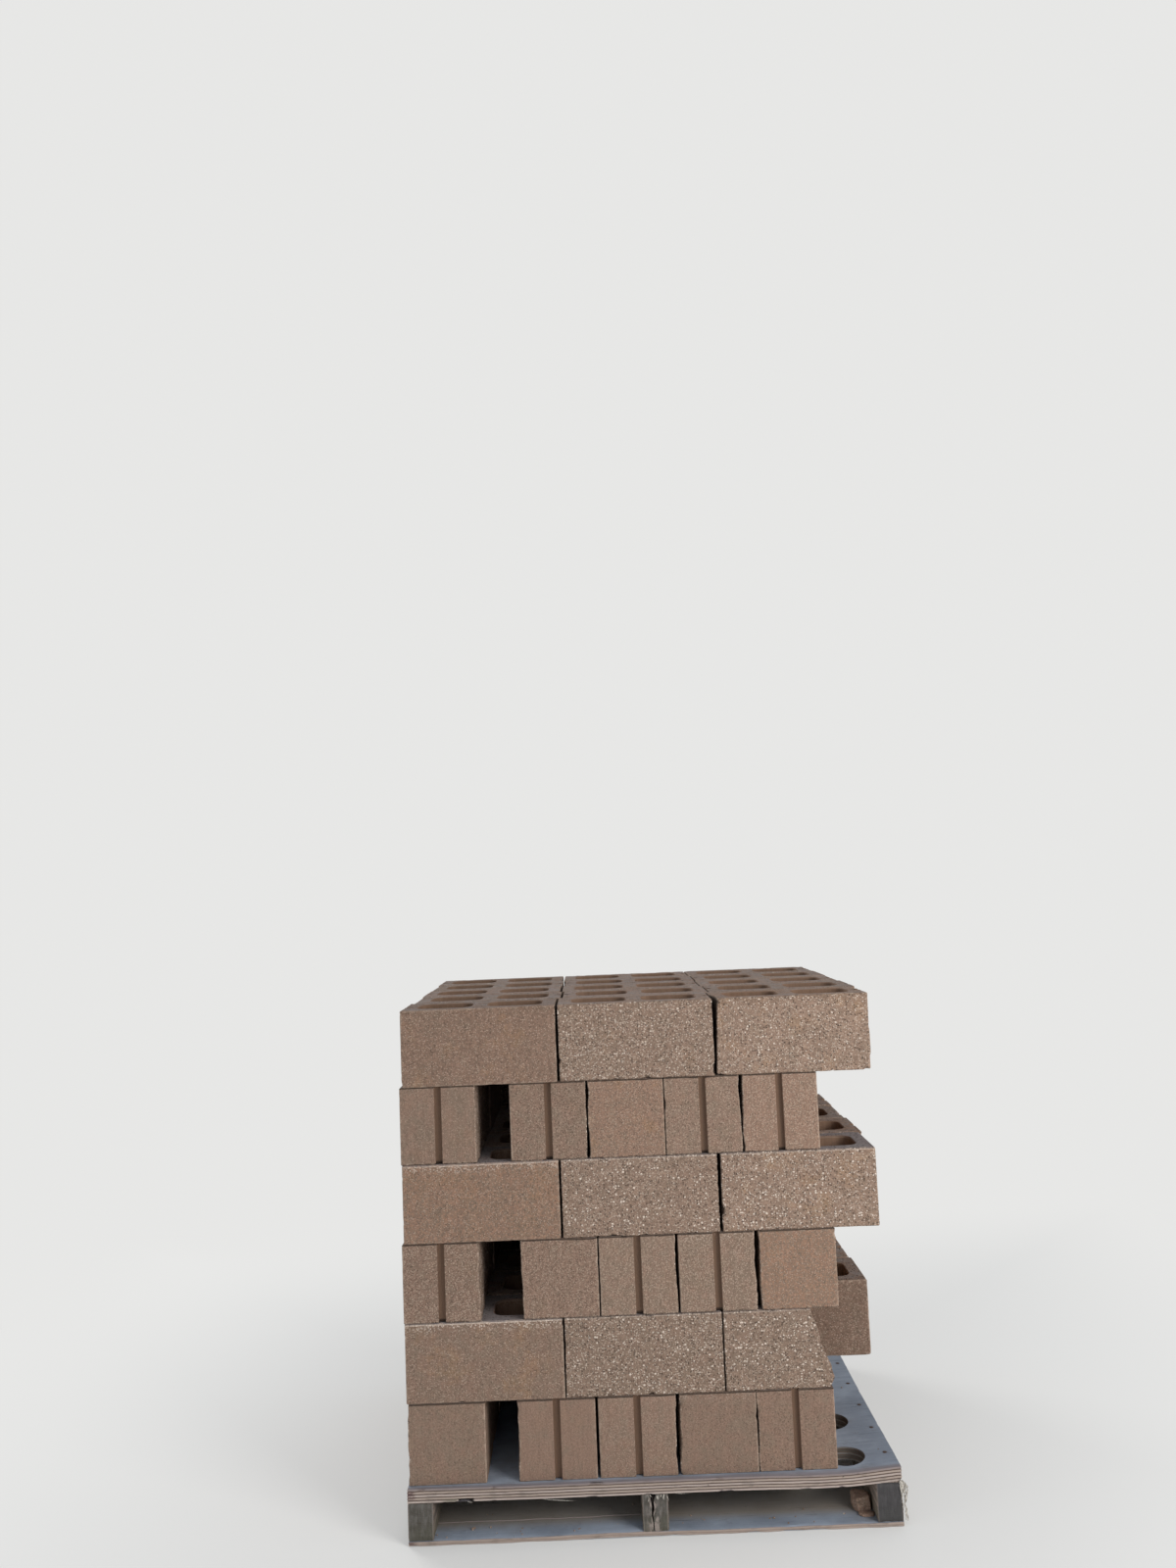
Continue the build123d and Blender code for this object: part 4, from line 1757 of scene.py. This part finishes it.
@dataclass
class Rubble:
    """The lump of broken block on the front bottom board, a chip before it, and crumbs about."""

    low: Numbers
    high: Numbers
    board: BottomBoard
    deck: Deck
    finishes: list[Material]
    facets: tuple[tuple[float, float, float, float], ...] = (
        (-0.8, -0.1, 0.6, 1.0), (0.75, 0.05, 0.65, 1.0), (-0.8, -0.6, -0.1, 1.05), (0.1, -0.8, 0.6, 1.12),
        (0.1, -1.0, 0.05, 0.86), (0.3, 0.75, 0.6, 1.0), (0.9, -0.3, 0.1, 0.9), (-0.2, -0.1, 1.0, 0.85),
    )
    chip_place: Pair = (506 * MM, -479 * MM)
    chip_size: Triple = (40 * MM, 22 * MM, 7 * MM)
    spread: float = 2 * MM
    bury: float = 75 * MM
    stone_lot: Triple = (1.0, 0.9, 5.0)
    crumb_lot: Triple = (4.0, 0.0, 5.0)
    crease: float = 20
    crumb_count: int = 30
    placed: tuple[Triple, ...] = (
        (-455, -462, 3.6), (-451, -457, 2.6), (-411, -456, 2.4), (-425, -396, 2.2), (-412, -397, 2.0),
        (-111, -390, 2.0), (-95, -337, 2.2), (-53, -375, 2.4),
    )
    seed: int = 12

    def _lump(self, low: Numbers, high: Numbers, lines: int, seed: int) -> Surface:
        """Makes a stone: a ball drawn back to a few planes, roughened, and stretched to a box.

        Args:
            low: The box's lowest corner.
            high: Its highest corner.
            lines: Grid lines along an edge of the ball.
            seed: Picks the noise.

        Returns:
            The stone.
        """
        form = rounded(np.linspace(-1, 1, lines), 6.5)
        points = form.points.copy()
        for x, y, z, distance in self.facets:
            ahead = np.array([x, y, z]) / math.hypot(x, y, z)
            points -= np.maximum(points @ ahead - distance, 0)[:, None] * ahead
        points *= 1 + 0.03 * fractal_noise(points, 0.45, seed, 3)[:, None]
        floor, top = points.min(axis=0), points.max(axis=0)
        points = (points - floor) / (top - floor) * (high - low) + low
        return Surface(points, form.faces, form.finishes * 0 + BlockFinish.MOULDED)

    def _crumb(self, form: Surface, chance: np.random.Generator, seen: tuple[float, ...] = ()) -> Surface:
        """Makes one crumb, a turned and squeezed ball, on the front board or the deck's right side.

        Args:
            form: The ball.
            chance: Gives its size, turn and place.
            seen: Its own x, y and size, in millimetres, if it has them.

        Returns:
            The crumb.
        """
        size = chance.lognormal(0.7, 0.35, 3) * MM * (1, 1, 0.7)
        angle = chance.random() * math.pi
        board, deck = self.board, self.deck
        if seen:
            size = np.full(3, seen[2] * MM)
            place = np.array([seen[0] * MM, seen[1] * MM, board.high[2]])
        elif chance.random() < 0.72:
            x = chance.uniform(*board.bay) if chance.random() < 0.5 else chance.uniform(0.05, 0.54)
            place = np.array([x, board.low[1] + chance.uniform(12 * MM, 78 * MM), board.high[2]])
        else:
            x, y = chance.uniform(0.47, 0.6), chance.uniform(deck.low[1] + 0.02, 0.3)
            place = np.array([x, y, deck.high[2]])
            place[2] += deck.rise(place)
        place[2] += size[2] * 0.6
        points = turned(form.points * size, (math.cos(angle), math.sin(angle)))
        return Surface(points + place, form.faces, form.finishes * 0 + BlockFinish.SPLIT)

    def build(self) -> list[Piece]:
        """Makes the lump with its chip in the node's place, and the crumbs."""
        chance = np.random.default_rng(self.seed)
        chip_low = np.array([*self.chip_place, self.low[2]])
        wider = np.array([self.spread, self.spread, 0])
        stone = self._lump(self.low - wider, self.high + wider, 15, 7)
        lumps = [stone, self._lump(chip_low, chip_low + self.chip_size, 9, 19)]
        pebble = rounded(np.array([-1.0, 0.0, 1.0]), 2.2)
        crumbs = [self._crumb(pebble, chance) for _ in range(self.crumb_count)]
        crumbs += [self._crumb(pebble, chance, seen) for seen in self.placed]
        made = []
        for name, parts, looks, node in (("block_fragment_stone", lumps, self.stone_lot, "block_fragment"),
                                         ("crumbs", crumbs, self.crumb_lot, "")):
            stones = Surface.joined(parts)
            lot = np.tile(looks, (len(stones.points), 1))
            local = stones.points - np.array([*(self.low + self.high)[:2] / 2, self.low[2] - self.bury])
            stones.facts = {"local": local, "lot": lot, "wear": lot * 0}
            made.append(fitted(stones.made(name, self.finishes, self.crease), node))
        return made


@dataclass
class Splinters:
    """Torn fibres of the pallet: strips that taper to a point at both ends.

    strands: each one's place across and down, its run across and down, its bow and width.
    slivers: each one's place, length, drop and width. All in millimetres.
    """

    right: Stringer
    centre: Stringer
    deck: Deck
    finish: Material
    seed: int = 8
    short_ones: int = 10
    tufts: tuple[float, ...] = (-17, -12, 4, 9, 16, 23, 28)
    strands: tuple[tuple[float, ...], ...] = (
        (-4, -12, 16, 24, 1, 9.0), (-6, -9, 12, 27, 0, 11.0), (-3, -6, 17, 15, 1, 7.0),
        (-6, -4, 9, 28, 1, 8.0), (-7, 1, 6, 28, 0, 4.5), (12, 8, -8, 26, 1, 4.5), (8, 16, -4, 30, 1, 5.0),
        (3, 24, 1, 24, 1, 4.0), (1, 42, 4, 26, 2, 4.0), (4, 50, 3, 20, 1, 4.5), (5, 64, 3, 24, 2, 3.5),
        (2, 60, 2, 26, 1, 3.0),
    )
    slivers: tuple[tuple[float, ...], ...] = (
        (-464, 16, 4, 3), (-285, 88, 9, 4), (-370, 60, 2, 4), (40, 40, 4, 4), (160, -60, 2, 5),
        (330, 40, 2, 4), (-426, 26, 3, 3),
    )

    @staticmethod
    def _strip(at: Numbers, start: Triple, run: Triple, bow: Triple, across: Triple, width: float,
               thick: float) -> Surface:
        """Makes one strip: a flat diamond section carried along a bowed path. Sizes are in millimetres.

        Args:
            at: A place of the pallet, in metres.
            start: From there to the strip's start.
            run: From its start to its other end.
            bow: How far its middle is bowed aside.
            across: The direction of its width.
            width: Its greatest width.
            thick: Its greatest thickness.

        Returns:
            The closed strip.
        """
        t = np.linspace(0, 1, 6)[:, None]
        swell = (np.sin(math.pi * t) ** 0.6)[:, None, :]
        swell[[0, -1]] = 0
        start, run, bow = np.array([start, run, bow]) * MM
        path = at + start + run * t + bow * 4 * t * (1 - t)
        across = np.array(across) / np.linalg.norm(across)
        out = np.cross(run, across)
        across, out = across * width * MM / 2, out / np.linalg.norm(out) * thick * MM / 2
        points = path[:, None, :] + np.stack([across, out, -across, -out]) * swell
        return Surface.of_grid(points, closed=True).flipped().welded(1e-7)

    def build(self) -> Piece:
        """Makes all the fibres as one piece.

        Long strands, each bowed out, follow each other down the right bearer's front arris,
        with short ones about them. Tufts lie on the middle bearer's front end, and slivers
        hang from the deck's lowest ply.
        """
        within = np.random.default_rng(self.seed).uniform
        corner = np.array([self.right.high[0], self.right.low[1], self.right.high[2]])
        top = np.array([0, self.centre.low[1], self.centre.high[2]])
        edge = np.array([0, self.deck.low[1], self.deck.low[2]])
        strips = []
        for x, drop, run_x, length, out, width in self.strands:
            start, run = (x, within(-1, 2), -drop), (run_x, within(-2, 1), -length)
            strips.append(self._strip(corner, start, run, (out, -2, 0), (1, -0.3, 0.2), width, 1.6))
        for _ in range(self.short_ones):
            start = (within(-6, 1), within(-1, 4), -within(-6, 60))
            run = (within(-3, 6), within(-4, 1), -within(8, 22))
            bow, across = (within(0, 4), within(-3, 0), 0), (1, within(-1, 0.4), 0.2)
            strips.append(self._strip(corner, start, run, bow, across, within(1.0, 2.4), 0.8))
        for x in self.tufts:
            start = (x, within(-2, 1), within(-3, 1))
            run = (within(-4, 6), within(-1, 1), -within(5, 18))
            bow = (within(-2, 2), within(-3, -0.5), 0)
            strips.append(self._strip(top, start, run, bow, (1, 0.2, 0.1), within(1.2, 3.2), 0.8))
        for x, length, drop, width in self.slivers:
            start, run = (x, within(1, 6), 0.5), (length, within(-2, 3), -drop)
            strips.append(self._strip(edge, start, run, (0, 0, -drop * 0.15), (0, 1, 0.1), width, 1.2))
        return fitted(Surface.joined(strips).made("torn_fibres", [self.finish]))


@dataclass
class Pallet:
    """The pallet under the load: a deck on three bearers on three strips."""

    concrete: list[Material]
    timber: Timber = field(default_factory=Timber)
    nail_inset: float = 21 * MM
    first_nail: float = 82 * MM
    nail_pitch: float = 147 * MM
    nail_count: int = 7
    strip_plies: Plies = Plies(12 * MM, 3, 0.25)

    @staticmethod
    def _box(node: str) -> tuple[Numbers, Numbers]:
        """Gives a node's lowest and highest corners."""
        low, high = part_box(node)
        return np.array(low), np.array(high)

    def build(self) -> list[Piece]:
        """Makes every piece of the pallet and what lies on it."""
        timber = self.timber
        low, high = self._box("deck")
        first = low[1] + self.first_nail
        nails = NailLine(high[0] - self.nail_inset, first, self.nail_pitch, self.nail_count)
        plies = Plies(high[2] - low[2], 9)
        finishes = [
            timber.sheet("deck_face", timber.silver, timber.slate, timber.mauve,
                         (low[1] + 30 * MM, low[1] + 8 * MM), nails),
            timber.laminate("deck_edge", plies, (timber.pale, timber.buff, timber.glue), 4.2 * MM, Deck.bite),
            timber.laminate("deck_bore", plies, (timber.ash, timber.olive, timber.glue), 1.5 * MM),
        ]
        deck = Deck(low, high, finishes, plies)
        made = [deck.build(), Nails(deck, nails, timber.nail()).build()]
        sides = [timber.bearer_side(), timber.bearer_end()]
        stringers = {which: Stringer(which, *self._box(which.value[0]), sides) for which in Bearer}
        made += [stringer.build() for stringer in stringers.values()]
        faces = [
            timber.sheet("strip_face", timber.silver, timber.slate, timber.earth,
                         (low[1] + 35 * MM, low[1] + 90 * MM)),
            timber.laminate("strip_edge", self.strip_plies, (timber.beige,) * 2 + (timber.drab,), 1.2 * MM),
        ]
        boards = {which: BottomBoard(which, *self._box(which.value), faces) for which in Strip}
        made += [board.build() for board in boards.values()]
        rubble = Rubble(*self._box("block_fragment"), boards[Strip.FRONT], deck, self.concrete)
        made += rubble.build()
        splinters = Splinters(stringers[Bearer.RIGHT], stringers[Bearer.CENTRE], deck, timber.splinter())
        return [*made, splinters.build()]


@dataclass
class Studio:
    """Pale floor, soft light and the camera that stands where the photograph was taken."""

    camera_place: Triple = (-0.100, -3.613, 1.600)
    camera_pitch: float = math.radians(4.77)
    camera_yaw: float = math.radians(0.11)
    camera_roll: float = math.radians(-2.31)
    focal_pixels: float = 1232
    long_side_pixels: float = 1600
    sensor: float = 36.0
    backdrop: Colour = (0.80, 0.80, 0.79)
    floor: Colour = (0.82, 0.815, 0.80)
    floor_reach: float = 40.0
    pallet_half: Pair = (0.61, 0.51)
    sky: Colour = (0.90, 0.95, 1.0)
    sky_strength: float = 0.55
    lamp_colour: Colour = (1.0, 0.98, 0.95)

    def camera(self) -> None:
        """Places the camera: the heading turns about Z, the pitch tips it up, the roll turns the picture."""
        data = bpy.data.cameras.new("camera")
        data.sensor_width = self.sensor
        data.lens = self.focal_pixels * self.sensor / self.long_side_pixels
        camera = added("camera", data)
        heading = Matrix.Rotation(-self.camera_yaw, 4, "Z")
        tip = Matrix.Rotation(math.pi / 2 + self.camera_pitch, 4, "X")
        roll = Matrix.Rotation(self.camera_roll, 4, "Z")
        camera.matrix_world = Matrix.Translation(self.camera_place) @ heading @ tip @ roll
        bpy.context.scene.camera = camera

    def ground(self) -> None:
        """Lays the floor, which fades into the backdrop's colour far off."""
        reach = np.linspace(-self.floor_reach, self.floor_reach, 9)
        points = raised(np.stack(np.meshgrid(reach, reach, indexing="ij"), axis=-1), 0)
        graph = Coat("studio_floor")
        x, y, _ = graph.parts(graph.place)
        away = (abs(x) - self.pallet_half[0]).most(abs(y) - self.pallet_half[1])
        paint = graph.node("ShaderNodeBsdfDiffuse", None, {"Color": (*self.floor, 1)})
        glow = graph.node("ShaderNodeEmission", None, {"Color": (*self.backdrop, 1), "Strength": 1.0})
        far = (away.between(-0.05, 0.05) * 0.3 + away.between(0.05, 1.8) * 0.7) * self._seen(graph)
        graph.node_end(graph.node("ShaderNodeMixShader", None, {0: far, 1: paint, 2: glow}))
        Surface.of_grid(points).made("floor", [graph.owner])

    @staticmethod
    def _seen(graph: Graph) -> Signal:
        """Gives 1 where the camera looks, also by way of gloss or glass, and 0 for light on a surface."""
        seen = graph.node("ShaderNodeLightPath", None, None, "Is Camera Ray")
        return seen.most(seen.output("Is Glossy Ray")).most(seen.output("Is Transmission Ray"))

    def light_sky(self) -> None:
        """Lights the scene evenly, and shows the backdrop to the camera."""
        graph = Graph("studio_sky", of_world=True)
        light = {"Color": (*self.sky, 1), "Strength": self.sky_strength}
        soft = graph.node("ShaderNodeBackground", None, light)
        shown = graph.node("ShaderNodeBackground", None, {"Color": (*self.backdrop, 1)})
        graph.node_end(graph.node("ShaderNodeMixShader", None, {0: self._seen(graph), 1: soft, 2: shown}))
        bpy.context.scene.world = graph.owner

    def lamp(self, name: str, place: Triple, aim: Triple, size: float, power: float) -> None:
        """Hangs a square soft lamp.

        Args:
            name: Its name.
            place: Where it hangs.
            aim: What it points at.
            size: Its side.
            power: Its power in watts.
        """
        data = bpy.data.lights.new(name, "AREA")
        data.size, data.energy, data.color = size, power, self.lamp_colour
        turn = (Vector(aim) - Vector(place)).to_track_quat("-Z", "Y")
        added(name, data).matrix_world = Matrix.Translation(place) @ turn.to_matrix().to_4x4()

    def build(self) -> None:
        """Sets the whole studio up."""
        self.camera()
        self.ground()
        self.light_sky()
        self.lamp("key", (3.1, -3.3, 2.4), (0.2, 0, 0.8), 2.0, 130)
        self.lamp("fill", (-4.0, -2.3, 0.75), (0.3, -0.4, 0.1), 1.5, 24)
        self.lamp("back", (-3.4, 3.2, 2.3), (0, 0, 0.7), 2.0, 90)
        bpy.context.scene.view_settings.view_transform = "Standard"


def main() -> None:
    """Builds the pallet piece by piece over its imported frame."""
    logging.basicConfig(level=logging.INFO, format="%(name)s: %(message)s")
    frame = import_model()
    Studio().build()
    concrete = Concrete().finishes()
    load = Load(frame["nodes"], concrete)
    pieces = [load.dress(name) for name in load.names()] + Pallet(concrete).build()
    for piece in pieces:
        log.info("%s: %d faces", piece.name, len(piece.data.polygons))


if __name__ == "__main__":
    main()
